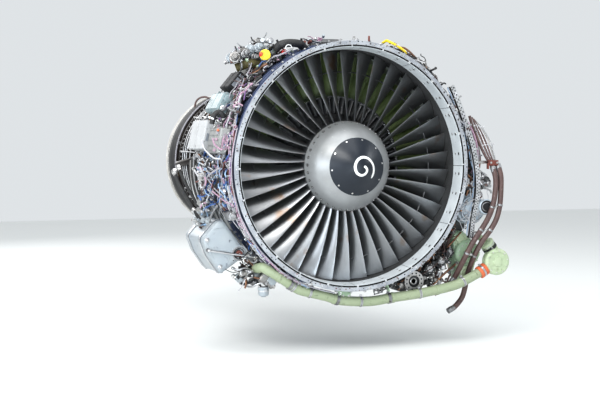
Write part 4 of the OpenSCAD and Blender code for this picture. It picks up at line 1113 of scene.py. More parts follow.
    # red cap, round top fitting, green bits
    o = sight(284.3, 52, .285)
    v.lathe([(.014, .06), (.014, .02), (.018, .018), (.018, -.006), (.015, -.010), (0, -.010)], o, (0, 1, 0), 16, 6)
    o = sight(271, 40.5, .300)
    v.lathe([(.012, .10), (.012, .03), (.020, .028), (.021, .010), (.017, .004), (.017, -.006), (.008, -.008), (0, -.008)], o, (0, 1, 0), 18, 1)
    v.tube([o + np.array((0, .05, 0)), np.array(cp(329, .86, .37)), np.array(cp(328.5, .80, .38))], .010, 1, 10, 6)
    for u, w, s in ((274, 50, .016), (258, 67, .014), (292, 51, .012), (247, 60, .012), (279, 58, .010)):
        o = sight(u, w, .33)
        v.box(tuple(o), (s * 1.7, .03, s), 7, .003, ((0, 1, 0), 30 + 13 * (u % 5)))
        v.bolt(o + np.array((0, -.016, 0)), (0, -1, 0), .004, .004, 2)
    # black rubber elbow with its white ring
    q = S((276.0, 49.5, .31), (279, 45.6, .285), (285, 43.4, .27), (293, 43.0, .28), (300.5, 44.4, .31), (304.5, 48.5, .34))
    v.tube(q, .0265, 8, 18, 8)
    v.clamp(q[1], q[2] - q[1], .0270, 10, .014, .002)
    v.clamp(q[4], q[4] - q[3], .0270, 10, .014, .002)
    c = sight(288.7, 47.6, .235)
    v.tube([c + np.array((.0205 * math.cos(k * math.pi / 9), -.004 * math.sin(k * math.pi / 9), .0185 * math.sin(k * math.pi / 9))) for k in range(19)], .0034, 9, 8, 1)
    v.done("engine", ["valve_group"], "bare_steel")

    w = Part("lower_valves", ["dull_steel", "steel", "bolt", "tank", "black", "titan", "copper", "white_wire", "green"])
    # valves under the tank
    w.at(218, .836, .300)
    w.box((0, .05, .038), (.108, .098, .076), 5, .010)
    w.box((0, -.004, .038), (.088, .010, .056), 0, .004)
    for x in (-.036, 0, .036):
        for z in (.016, .060):
            w.bolt((x, -.009, z), (0, -1, 0), .004, .005, 2)
    w.frame()
    valve(w, sight(238, 277, .32), (0, -1, 0), .030, .12, 3, 2)
    valve(w, sight(250, 281, .26), (.2, -1, 0), .022, .09, 0, 2)
    valve(w, sight(247, 272, .20), (0, -1, .1), .018, .07, 1, 2)
    valve(w, sight(268, 281, .16), (-.5, -1, -.2), .017, .07, 0, 2)
    ribbed(w, sight(259, 275, .20), (-1, -.2, .2), .018, .06, 3, 5, 16)
    for q, r, m in ((S((232, 268, .2), (238, 270, .15), (246, 268, .15), (254, 272, .18)), .006, 1),
                    (S((240, 283, .3), (250, 287, .2), (262, 283, .14), (275, 287, .15)), .007, 1),
                    (S((246, 266, .2), (252, 276, .15), (262, 279, .13), (273, 281, .15)), .006, 6),
                    (S((232, 275, .3), (243, 284, .25), (256, 281, .18), (262, 290, .16)), .008, 4),
                    (S((255, 265, .2), (262, 271, .14), (270, 274, .13), (280, 283, .14)), .005, 7)):
        pipe(w, q, r, m, 2)
    # grey valve between the wires
    w.at(249, .832, .090)
    w.box((0, .045, .030), (.058, .088, .058), 0, .008)
    valve(w, (0, .0, .032), (0, -1, 0), .024, .055, 0, 2)
    w.frame()
    # grey housings beside the tank's top
    w.frame()
    valve(w, sight(197, 219, .55), (0, -1, 0), .040, .16, 3, 2)
    valve(w, sight(206, 221, .45), (0.2, -1, 0), .032, .13, 3, 2)
    w.box(tuple(sight(203, 214, .50)), (.11, .10, .035), 3, .008)
    # small box near the top on the right
    w.at(40, .830, .130)
    w.box((0, .08, .028), (.128, .158, .056), 5, .006)
    w.box((-.03, -.003, .028), (.05, .008, .040), 3, .003)
    for x in (-.052, -.008, .02, .052):
        w.bolt((x, -.001, .012), (0, -1, 0), .0035, .004, 2)
    plug(w, (.035, 0, .034), (0, -1, 0), .010, .03, 1, 2)
    w.frame()
    w.done("engine", slot="bare_steel")


left_cluster()


# ------------------------------------------------------------------ oil tank
def oil_tank():
    p = Part("oil_tank_detailed", ["tank", "bolt", "dark", "steel", "dull_steel", "green"])
    hole = np.array((-.727, -.563))
    # corners seen from the front: angle, radius, cut size
    corners = [(229.5, .878, .012), (236.6, .872, .010), (247.6, .896, .016), (248.0, .940, .014), (244.4, 1.078, .026), (238.5, 1.092, .012), (230.8, 1.094, .014)]
    # outline: straight sides between cut corners, each corner turned in four steps
    def outline(ins):
        P = [np.array((R * math.sin(math.radians(c)), R * math.cos(math.radians(c)))) for c, R, k in corners]
        n = len(P)
        ctr = sum(P) / n
        inner = []
        for i in range(n):
            a, b, c = P[i - 1], P[i], P[(i + 1) % n]
            d1, d2 = unit(a - b), unit(c - b)
            bis = unit(d1 + d2) if np.linalg.norm(d1 + d2) > 1e-6 else unit(ctr - b)
            if bis @ (ctr - b) < 0:
                bis = -bis
            sn = max(0.35, abs(d1[0] * bis[1] - d1[1] * bis[0]))
            inner.append(b + bis * ins / sn)
        out = []
        for i in range(n):
            a, b, c = inner[i - 1], inner[i], inner[(i + 1) % n]
            rc = corners[i][2]
            l1, l2 = np.linalg.norm(a - b), np.linalg.norm(c - b)
            t = min(rc, l1 * .45, l2 * .45)
            s0, s1 = b + unit(a - b) * t, b + unit(c - b) * t
            for k in range(5):
                f = k / 4
                out.append(tuple((1 - f) ** 2 * s0 + 2 * f * (1 - f) * b + f * f * s1))
            e0 = s1
            cn = inner[(i + 1) % n]
            tn = min(corners[(i + 1) % n][2], np.linalg.norm(cn - b) * .45, np.linalg.norm(inner[(i + 2) % n] - cn) * .45)
            e1 = cn + unit(b - cn) * tn
            for k in range(1, 4):
                out.append(tuple(e0 + (e1 - e0) * k / 4))
        return out
    rings = [(0.026, .2020), (0.014, .2030), (0.005, .2090), (0.0, .222), (0.0, .300), (-.0015, .3005), (-.0015, .304), (0, .3045), (0.0, .560), (-.0015, .5605),
             (-.0015, .564), (0, .5645), (0.0, .656), (0.005, .669), (0.014, .6755), (0.026, .678)]
    L = len(outline(0))
    vs, fs = [], []
    for ins, y in rings:
        vs += [(x, y, z) for x, z in outline(ins)]
    for j in range(len(rings) - 1):
        for k in range(L):
            k2 = (k + 1) % L
            fs.append((j * L + k, j * L + k2, (j + 1) * L + k2, (j + 1) * L + k))
    fs.append(tuple((len(rings) - 1) * L + k for k in range(L)))
    # front face down to the recess
    base = outline(0.026)
    b0 = len(vs)
    levels = [(0.055, .2018), (0.037, .2008), (0.031, .2006), (0.0300, .2030), (0.0290, .2260)]
    for rr, y in levels:
        for x, z in base:
            d = np.array((x, z)) - hole
            d = d / np.linalg.norm(d)
            q = hole + d * min(rr, 0.9)
            vs.append((q[0], y, q[1]))
    for k in range(L):
        k2 = (k + 1) % L
        fs.append((k2, k, b0 + k, b0 + k2))
    for j in range(len(levels) - 1):
        for k in range(L):
            k2 = (k + 1) % L
            fs.append((b0 + j * L + k2, b0 + j * L + k, b0 + (j + 1) * L + k, b0 + (j + 1) * L + k2))
    fs.append(tuple(b0 + (len(levels) - 1) * L + k for k in range(L))[::-1])
    p.raw(vs, fs, 0)
    # mounting straps with their tension bolts
    for y in (.285, .580):
        q = outline(-0.0035)
        q2 = outline(-0.0060)
        sv = []
        for dy in (-.012, .012):
            sv += [(x, y + dy, z) for x, z in q] + [(x, y + dy, z) for x, z in q2]
        sf = []
        for k in range(L):
            k2 = (k + 1) % L
            sf += [(L + k, L + k2, 3 * L + k2, 3 * L + k), (k, L + k, L + k2, k2)[::-1], (2 * L + k, 3 * L + k, 3 * L + k2, 2 * L + k2)]
        p.raw(sv, sf, 3)
        o = np.array(cp(230.6, 1.075, y))
        p.box(tuple(o), (.030, .026, .022), 3, .003)
        p.bolt(o + np.array((0, 0, .011)), (0, 0, 1), .006, .008, 1)
    # bright sight rod, its end blocks, small front fittings
    a, b = sight(208.6, 250.6, .186), sight(254.5, 257.2, .186)
    p.tube([a, b], .0075, 3, 12, 2)
    for q in (a, b):
        p.lathe([(.012, 0), (.014, .004), (.014, .018), (0, .018)], q + np.array((0, .002, 0)), (0, 1, 0), 14, 4)
        p.bolt(q + np.array((0, -.006, 0)), (0, -1, 0), .006, .006, 1)
    for c, R in ((243.6, 1.052), (233.0, 1.070)):
        q = cp(c, R, .2012)
        p.lathe([(.016, .0), (.016, -.005), (.010, -.007), (.010, -.018), (.006, -.020), (0, -.020)], q, (0, 1, 0), 16, 3)
    p.ring([(.0360, .1996), (.0385, .1990), (.0440, .1990), (.0460, .2004), (.0460, .2030), (.0360, .2030)], 44, 4, o=(hole[0], 0, hole[1]))
    # dark ring on the wall of the cap's recess: painted shade in the recess
    p.ring([(.0300, .2000), (.0360, .1994), (.0360, .2030), (.0300, .2030)], 44, 2, o=(hole[0], 0, hole[1]))
    # shallow raised panel lines on the front
    for (c0, R0), (c1, R1) in (((231.5, 1.05), (235.5, .93)), ((236.5, 1.075), (242.5, 1.06)), ((246, .98), (244.6, .915))):
        a0, a1 = np.array(cp(c0, R0, .2010)), np.array(cp(c1, R1, .2010))
        p.tube([a0, a1], .0022, 0, 6, 2)
    p.done("engine", ["oil_tank"], "tank_grey", 30.0)
    k = Part("oil_tank_cap_detailed", ["redbrown", "steel", "bolt"])
    o = (hole[0], .200, hole[1])
    k.lathe([(.0168, .025), (.0168, .004), (.0215, .003), (.0225, 0), (.0225, -.004), (.020, -.007), (.010, -.0075), (.009, -.006), (0, -.006)], o, (0, 1, 0), 30, 0)
    k.box((hole[0], .1905, hole[1]), (.036, .007, .008), 0, .002)
    k.lathe([(.004, 0), (.004, -.002), (0, -.002)], (hole[0], .1872, hole[1]), (0, 1, 0), 12, 2)
    for i in range(18):
        a = math.radians(20 * i)
        k.box((hole[0] + .0222 * math.cos(a), .1982, hole[1] + .0222 * math.sin(a)), (.0025, .006, .0025), 0, .0008, ((0, 1, 0), -20 * i))
    k.done("tank_cap", ["oil_tank_cap"], "cap_red")


oil_tank()


# ------------------------------------------------------------------ bottom: filter, duct, clamps, drum
DUCT = [(-.545, .298, -.690), (-.574, .244, -.672), (-.612, .190, -.660), (-.614, .140, -.655), (-.600, .100, -.647), (-.568, .078, -.665), (-.492, .072, -.712), (-.414, .072, -.765),
        (-.351, .072, -.800), (-.256, .072, -.826), (-.176, .072, -.847), (-.062, .072, -.880), (.133, .072, -.894), (.299, .072, -.876), (.467, .072, -.860), (.637, .072, -.836),
        (.766, .072, -.810), (.844, .072, -.779), (.909, .072, -.749), (.962, .072, -.724)]


def near_duct(x):
    q = spline(DUCT, 12)
    i = min(range(len(q)), key=lambda k: abs(q[k][0] - x))
    j = max(1, min(len(q) - 2, i))
    return q[i], unit(q[j + 1] - q[j - 1])


def bottom():
    p = Part("lower_air_duct_detailed", ["green_pale", "steel", "bolt", "dull_steel", "black", "green", "duct_green"])
    p.tube(DUCT, .0325, 6, 26, 7)
    for x in (-.50, -.12, .30, .62):
        q, t = near_duct(x)
        p.lathe([(.0322, -.010), (.0355, -.008), (.0355, .008), (.0322, .010)], q, t, 26, 6)
    for x in (-.40, -.285, .075, .50, .82):
        q, t = near_duct(x)
        p.clamp(q, t, .0330, 1, .016, .0025)
        p.lathe([(.0356, -.002), (.0370, -.001), (.0370, .001), (.0356, .002)], q, t, 20, 3)
    # end drum facing forward, the neck above it and its dark strap
    o = (1.070, .070, -.660)
    p.lathe([(.068, -.033), (.080, -.0325), (.088, -.028), (.092, -.020), (.092, -.012), (.090, -.010), (.090, .012), (.092, .014), (.092, .024), (.086, .030), (.066, .033), (0, .033)],
            o, (0, 1, 0), 56, 0, c0=False)
    p.lathe([(.068, -.033), (.066, -.0295), (.032, -.0285), (.030, -.033), (.026, -.0345), (0, -.0345)], o, (0, 1, 0), 44, 0, c0=False)
    for i in range(10):
        a = math.pi * i / 5 + .2
        p.bolt((o[0] + .0745 * math.cos(a), .0375, o[2] + .0745 * math.sin(a)), (0, -1, 0), .0036, .004, 2)
    for i in range(6):
        a = math.pi * i / 3 + .5
        p.box((o[0] + .049 * math.cos(a), .0405, o[2] + .049 * math.sin(a)), (.034, .003, .004), 0, .001, ((0, 1, 0), -math.degrees(a)))
    nk, na = np.array((1.042, .108, -.566)), np.array((-.6157, 0, .788))
    p.lathe([(.040, -.060), (.047, -.056), (.048, -.050), (.048, .030), (.051, .032), (.051, .044), (.047, .047), (.042, .052), (.030, .054), (0, .054)], nk, na, 40, 0)
    p.lathe([(.0488, -.012), (.0510, -.011), (.0510, .011), (.0488, .012)], nk, na, 36, 4)
    p.lathe([(.0486, .018), (.0498, .0185), (.0498, .0235), (.0486, .024)], nk, na, 36, 1)
    e = np.cross(na, (0, 1, 0))
    for t0 in (-.006, .006):
        p.bolt(nk + np.array((0, -.051, 0)) + na * t0 + e * .004, (0, -1, 0), .0036, .006, 2)
    p.box(tuple(nk + np.array((0, -.050, 0)) + e * .016), (.030, .004, .018), 4, .001, ((0, 1, 0), 38))
    p.tube([nk + na * .05, nk + na * .075 + np.array((0, .03, 0)), nk + na * .09 + np.array((0, .08, .01))], .022, 0, 14, 5)
    q, t = near_duct(.900)
    p.done("engine", ["lower_air_duct"], "green_primer")

    k = Part("pipe_clamps_detailed", ["orange", "steel", "bolt", "green", "dull_steel"])
    ax = unit(np.array((.85, 0, .53)))
    o = np.array((.9686, .072, -.7205))
    k.lathe([(.034, -.030), (.043, -.029), (.044, -.024), (.044, -.012), (.040, -.010), (.040, .010), (.044, .012), (.044, .024), (.043, .029), (.034, .030)], o, ax, 34, 0)
    k.clamp(o, ax, .0402, 1, .014, .003)
    # posts and brackets that carry the duct
    for c in (162, 186, 208):
        xx = .90 * math.sin(math.radians(c))
        q, t = near_duct(xx)
        s = unit(np.array((q[0], 0, q[2])))
        top = np.array(cp(c, .806, .072))
        k.at(c, .800, .072)
        k.box((0, 0, .022), (.040, .050, .010), 3, .003)
        k.box((0, 0, .045), (.008, .044, .060), 3, .002)
        for x in (-.013, .013):
            k.bolt((x, -.015, .027), (0, 0, 1), .004, .004, 2)
            k.bolt((x, .015, .027), (0, 0, 1), .004, .004, 2)
        k.frame()
        k.clamp(q, t, .0335, 4, .020, .004)
    # green primer bracket, pierced plates
    k.at(182.5, .818, .045)
    k.box((0, .02, .025), (.066, .006, .056), 3, .002)
    k.box((0, .045, .004), (.066, .05, .006), 3, .002)
    for x in (-.02, .02):
        k.bolt((x, .016, .032), (0, -1, 0), .0055, .006, 2)
        k.bolt((x, .05, .007), (0, 0, 1), .0045, .005, 2)
    k.at(167, .818, .045)
    for x in (-.028, 0, .028):
        k.box((x, .02, .024), (.008, .006, .050), 4, .001)
    for z in (.002, .024, .046):
        k.box((0, .02, z), (.064, .006, .007), 4, .001)
    k.frame()
    k.done("engine", ["pipe_clamps"], "clamp_orange")

    f = Part("oil_filter_detailed", ["dull_steel", "steel", "bolt", "tank", "titan"])
    f.at(217, .828, .120)
    f.box((0, .03, .064), (.112, .058, .126), 4, .008)
    f.box((-.02, -.004, .080), (.060, .010, .056), 3, .004)
    for x, z in ((-.044, .058), (-.044, .104), (.004, .058), (.004, .104)):
        f.bolt((x, -.009, z), (0, -1, 0), .004, .005, 2)
    f.frame()
    o = np.array((-.578, .150, -.778))
    f.lathe([(.034, .0), (.038, -.002), (.038, -.016), (.035, -.018), (.035, -.046), (.031, -.056), (.018, -.060), (.016, -.064), (.010, -.066), (0, -.066)], o, (0, 0, 1), 36, 3)
    f.lathe([(.0362, -.022), (.0366, -.023), (.0366, -.030), (.0362, -.031)], o, (0, 0, 1), 36, 1)
    for i in range(8):
        a = math.pi * i / 4
        f.bolt(o + np.array((.0345 * math.cos(a), .0345 * math.sin(a), -.001)), (0, 0, 1), .0032, .004, 2, False)
    f.lathe([(.010, 0), (.010, -.012), (0, -.012)], o + np.array((0, -.030, -.02)), (0, 1, 0), 8, 1)
    f.done("engine", ["oil_filter"], "bare_steel")


bottom()


# ------------------------------------------------------------------ right side: hoses, rail, tubes, starter, generator
HOSE_A = [(1.033, .060, .003), (1.043, .030, -.090), (1.038, .028, -.192), (1.018, .028, -.285), (.983, .028, -.363), (.932, .028, -.440), (.881, .030, -.509), (.832, .036, -.594),
          (.806, .085, -.691), (.789, .135, -.766), (.772, .160, -.807)]
HOSE_B = [(1.073, .060, .009), (1.081, .030, -.066), (1.083, .028, -.154), (1.075, .028, -.271), (1.049, .026, -.364), (1.000, .024, -.442), (.942, .030, -.518), (.902, .062, -.614),
          (.896, .128, -.715), (.890, .152, -.788), (.877, .158, -.860), (.854, .158, -.918), (.801, .156, -.973), (.751, .152, -.998)]


def right_side():
    h = Part("fuel_hoses_detailed", ["hose", "redbrown", "steel", "bolt", "rubber", "dull_steel"])
    for q in (HOSE_A, HOSE_B):
        h.tube(q, .0182, 0, 18, 10)
        for e0, e1 in ((q[0], q[1]), (q[-1], q[-2])):
            t = unit(np.array(e1) - np.array(e0))
            h.lathe([(.012, -.004), (.0195, -.002), (.0195, .014), (.0205, .016), (.0205, .030), (.0190, .034), (.0186, .050), (.0182, .052)], e0, t, 20, 5)
    # red-brown bracket that holds both upper ends
    o = sight(493.2, 163.2, .052)
    h.box(tuple(o), (.066, .034, .034), 1, .005)
    h.box(tuple(o + np.array((.002, .012, .016))), (.072, .040, .010), 1, .003)
    h.box(tuple(o + np.array((-.034, .012, -.020))), (.010, .026, .040), 1, .003)
    h.box(tuple(o + np.array((-.052, .040, .006))), (.090, .012, .022), 3, .003)
    for x in (-.024, .020):
        h.bolt(o + np.array((x, -.017, .004)), (0, -1, 0), .0055, .005, 3)
    for i, j in ((3, 3), (5, 5), (7, 7)):
        a, b = np.array(HOSE_A[i]), np.array(HOSE_B[j])
        h.clamp(a, unit(np.array(HOSE_A[i + 1]) - np.array(HOSE_A[i - 1])), .0184, 5, .012, .0022, False)
        h.clamp(b, unit(np.array(HOSE_B[j + 1]) - np.array(HOSE_B[j - 1])), .0184, 5, .012, .0022, False)
        m = (a + b) / 2
        h.tube([a, m, b], .0045, 2, 8, 2)
        h.bolt(m + np.array((0, -.006, 0)), (0, -1, 0), .006, .006, 3)
    h.done("engine", ["fuel_hoses"], "brown_hose")

    s = Part("starter_detailed", ["starter_paint", "steel", "bolt", "black", "dull_steel", "frame_alu"])
    gx, gz = .908, -.300
    o = (gx, 0, gz)
    s.lathe([(.066, .100), (.080, .094), (.089, .097), (.0925, .105), (.0925, .124), (.098, .128), (.104, .134), (.104, .142), (.0985, .146), (.0985, .202), (.104, .206), (.104, .216), (.098, .221),
             (.092, .224), (.090, .252), (.080, .260), (.060, .262), (.060, .300)], o, (0, 1, 0), 60, 0, c0=False)
    s.lathe([(.066, .100), (.062, .091), (.036, .089), (.034, .084), (.030, .0835), (.029, .088), (.016, .088), (.014, .080), (0, .080)], o, (0, 1, 0), 48, 0, c0=False)
    s.ring([(.0780, .0935), (.0795, .0915), (.0815, .0915), (.0830, .0945)], 60, 4, o=o)
    for i in range(12):
        a = math.radians(30 * i + 8)
        s.bolt((gx + .0735 * math.cos(a), .0955, gz + .0735 * math.sin(a)), (0, -1, 0), .0036, .005, 2)
    for i in range(16):
        a = math.radians(22.5 * i)
        s.bolt((gx + .0985 * math.cos(a) * .985, .131, gz + .0985 * math.sin(a) * .985), (0, -1, 0), .0042, .006, 2, False)
    s.ring([(.1045, .135), (.1065, .136), (.1065, .141), (.1045, .142)], 60, 4, o=o)
    for i in range(24):
        a = math.radians(15 * i)
        s.box((gx + .0995 * math.cos(a), .174, gz + .0995 * math.sin(a)), (.004, .050, .004), 0, .001, ((0, 1, 0), -15 * i))
    # air port; its inside is lined and floored in black paint, painted shade in the opening
    po = (.986, 0, -.282)
    s.lathe([(.043, .104), (.0445, .063), (.046, .060), (.050, .060), (.0525, .063), (.0525, .071), (.049, .073), (.049, .100)], po, (0, 1, 0), 44, 0)
    s.lathe([(.0436, .100), (.0444, .0610)], po, (0, 1, 0), 40, 3, c0=False, c1=False)
    s.lathe([(.0440, .0850), (.020, .0846), (0, .0840)], po, (0, 1, 0), 40, 3, c0=False)
    s.lathe([(.0440, .0560), (.0440, .0486), (.0300, .0485), (0, .0484)], po, (0, 1, 0), 40, 3, c0=False)
    s.lathe([(.0445, .0640), (.0445, .0478), (.0500, .0478), (.0520, .0500), (.0520, .0640)], po, (0, 1, 0), 44, 0)
    s.tube([(po[0] + .034 * math.cos(t), .0450 + .002 * math.sin(3 * t), po[2] + .030 * math.sin(t)) for t in [.6 + .5 * k for k in range(9)]], .0026, 1, 7, 4)
    for i in range(3):
        a = math.radians(120 * i + 20)
        s.box((po[0] + .026 * math.cos(a), .086, po[2] + .026 * math.sin(a)), (.018, .004, .003), 4, .0005, ((0, 1, 0), -(120 * i + 20)))
    plug(s, (gx - .055, .100, gz + .045), (0, -1, 0), .010, .028, 1, 2)
    s.done("engine", ["starter"], "light_alloy")

    g = Part("generator_housing_detailed", ["green", "steel", "bolt", "green_pale", "dull_steel", "black", "brass"])
    out = hull_pts([(.905, -.606, .0935), (.862, -.512, .058), (.892, -.735, .069)], 40)
    slab_y(g, out, .191, .309, 0, .012)
    outf = hull_pts([(.905, -.606, .080), (.864, -.516, .046), (.892, -.732, .056)], 40)
    slab_y(g, outf, .186, .200, 3, .003)
    for k in range(0, len(outf), 4):
        x, z = outf[k]
        cx, cz = .890, (-.735 if z < -.735 else (-.52 if z > -.52 else z))
        d = unit(np.array((cx - x, cz - z)))
        g.bolt((x + d[0] * .008, .186, z + d[1] * .008), (0, -1, 0), .0035, .004, 2, False)
    # round end bell in front with its bolts, pads above and below
    gc = (.905, 0, -.606)
    g.lathe([(.060, .158), (.078, .160), (.088, .166), (.0935, .176), (.0945, .186), (.0945, .205)], gc, (0, 1, 0), 56, 0, c0=False)
    g.lathe([(.060, .158), (.057, .163), (.034, .164), (.032, .158), (.018, .157), (.016, .163), (0, .163)], gc, (0, 1, 0), 44, 0, c0=False)
    g.lathe([(.0215, .1575), (.0300, .1570), (.0300, .1640)], gc, (0, 1, 0), 30, 5, c0=False, c1=False)
    for i in range(12):
        a = math.radians(30 * i + 11)
        g.bolt((gc[0] + .068 * math.cos(a), .1585, gc[2] + .068 * math.sin(a)), (0, -1, 0), .0036, .005, 2)
    for i in range(10):
        a = math.radians(36 * i)
        g.box((gc[0] + .090 * math.cos(a), .176, gc[2] + .090 * math.sin(a)), (.010, .026, .004), 0, .001, ((0, 1, 0), -36 * i))
    g.lathe([(.034, .184), (.038, .180), (.038, .174), (.024, .170), (.022, .176), (0, .176)], (.862, 0, -.508), (0, 1, 0), 30, 3)
    g.lathe([(.044, .184), (.048, .178), (.048, .168), (.032, .162), (.030, .170), (.014, .170), (.012, .160), (0, .160)], (.892, 0, -.742), (0, 1, 0), 40, 3)
    for i in range(8):
        a = math.radians(45 * i)
        g.bolt((.892 + .040 * math.cos(a), .1665, -.742 + .040 * math.sin(a)), (0, -1, 0), .0034, .004, 2, False)
    g.box((.990, .245, -.598), (.060, .088, .084), 3, .010)
    for z in (-.628, -.598, -.568):
        plug(g, (.986, .203, z), (0, -1, 0), .010, .026, 4, 2)
    for x, z, a in ((.822, -.66, 0), (.826, -.70, 0), (.958, -.70, 0)):
        g.box((x, .250, z), (.012, .110, .006), 0, .002)
    g.done("engine", ["generator_housing"], "green_primer")


right_side()


# ------------------------------------------------------------------ wires, rails, harnesses, thin tubes
def clutter(w, rnd, c0, c1, R0, R1, y0, y1, dark, tubes, bodies, pick, bright):
    """Dressings on the case between two angles: dark bodies low down, tubes and wires above them, small fittings on top."""
    for i in range(dark):
        c, y = rnd.uniform(c0, c1), rnd.uniform(y0, y1)
        w.at(c, R0 + rnd.uniform(0, .012), y, rnd.uniform(-40, 40))
        k = i % 4
        if k < 2:
            w.box((0, 0, 0), (rnd.uniform(.03, .07), rnd.uniform(.03, .07), rnd.uniform(.016, .036)), 5, .004)
        elif k == 2:
            w.tube([(-.05, -.02, 0), (-.02, .0, .008), (.02, .004, .008), (.06, .03, 0)], rnd.uniform(.008, .014), 5, 8, 4)
        else:
            w.lathe([(.016, -.03), (.020, -.026), (.020, -.006), (.016, -.004), (.016, .022), (.010, .03), (0, .03)], (0, 0, .006), (rnd.uniform(-1, 1), rnd.uniform(-1, 1), .1), 14, 5)
    w.frame()
    for i in range(tubes):
        c, y = rnd.uniform(c0, c1), rnd.uniform(y0, y1)
        R = R0 + .012 + abs(rnd.gauss(0, (R1 - R0) * .42))
        dc, dy = rnd.choice(((2.4, .0), (1.6, .02), (.3, .04), (-1.4, .03), (2.0, -.02)))
        K = rnd.choice((5, 6, 7))
        q = [cp(c + dc * (k - K / 2) + rnd.uniform(-.6, .6), R + rnd.uniform(-.006, .014) * (0 < k < K - 1), y + dy * (k - K / 2) + rnd.uniform(-.012, .012)) for k in range(K)]
        w.tube(q, rnd.choice((.0022, .0030, .0038, .0050, .0065)), rnd.choice(pick), 6, 3)
    for i in range(bodies):
        c, y, R = rnd.uniform(c0, c1), rnd.uniform(y0, y1), R0 + rnd.uniform(.3, 1.0) * (R1 - R0)
        w.at(c, R, y, rnd.uniform(-70, 70))
        k, m = i % 5, rnd.choice(bright)
        if k == 0:
            w.box((0, 0, 0), (rnd.uniform(.018, .040), rnd.uniform(.016, .034), rnd.uniform(.012, .024)), m, .002)
            w.box((0, -.004, .008), (.012, .030, .008), 9, .001)
            w.bolt((.006, 0, .011), (0, 0, 1), .0040, .004, 9)
        elif k == 1:
            w.lathe([(.010, -.022), (.012, -.018), (.012, -.006), (.009, -.004), (.009, .006), (.013, .007), (.013, .012), (.006, .014), (.006, .022), (0, .022)], (0, 0, 0), (rnd.uniform(-1, 1), -1, .3), 12, m)
        elif k == 2:
            w.lathe([(.0085, -.0035), (.0100, -.003), (.0100, .003), (.0085, .0035)], (0, 0, 0), (1, .2, 0), 14, m, c0=False, c1=False)
            w.bolt((0, 0, .010), (0, 0, 1), .0034, .004, 9)
        elif k == 3:
            w.lathe([(.007, -.010), (.0105, -.008), (.0105, .0), (.007, .002), (.006, .018), (0, .018)], (0, 0, 0), (.3, rnd.uniform(-1, -.3), .5), 6, m)
        else:
            w.box((0, 0, .002), (.008, rnd.uniform(.04, .07), .003), m, .001)
            w.bolt((0, -.014, .004), (0, 0, 1), .0038, .004, 9)
            w.bolt((0, .014, .004), (0, 0, 1), .0038, .004, 9)
    w.frame()


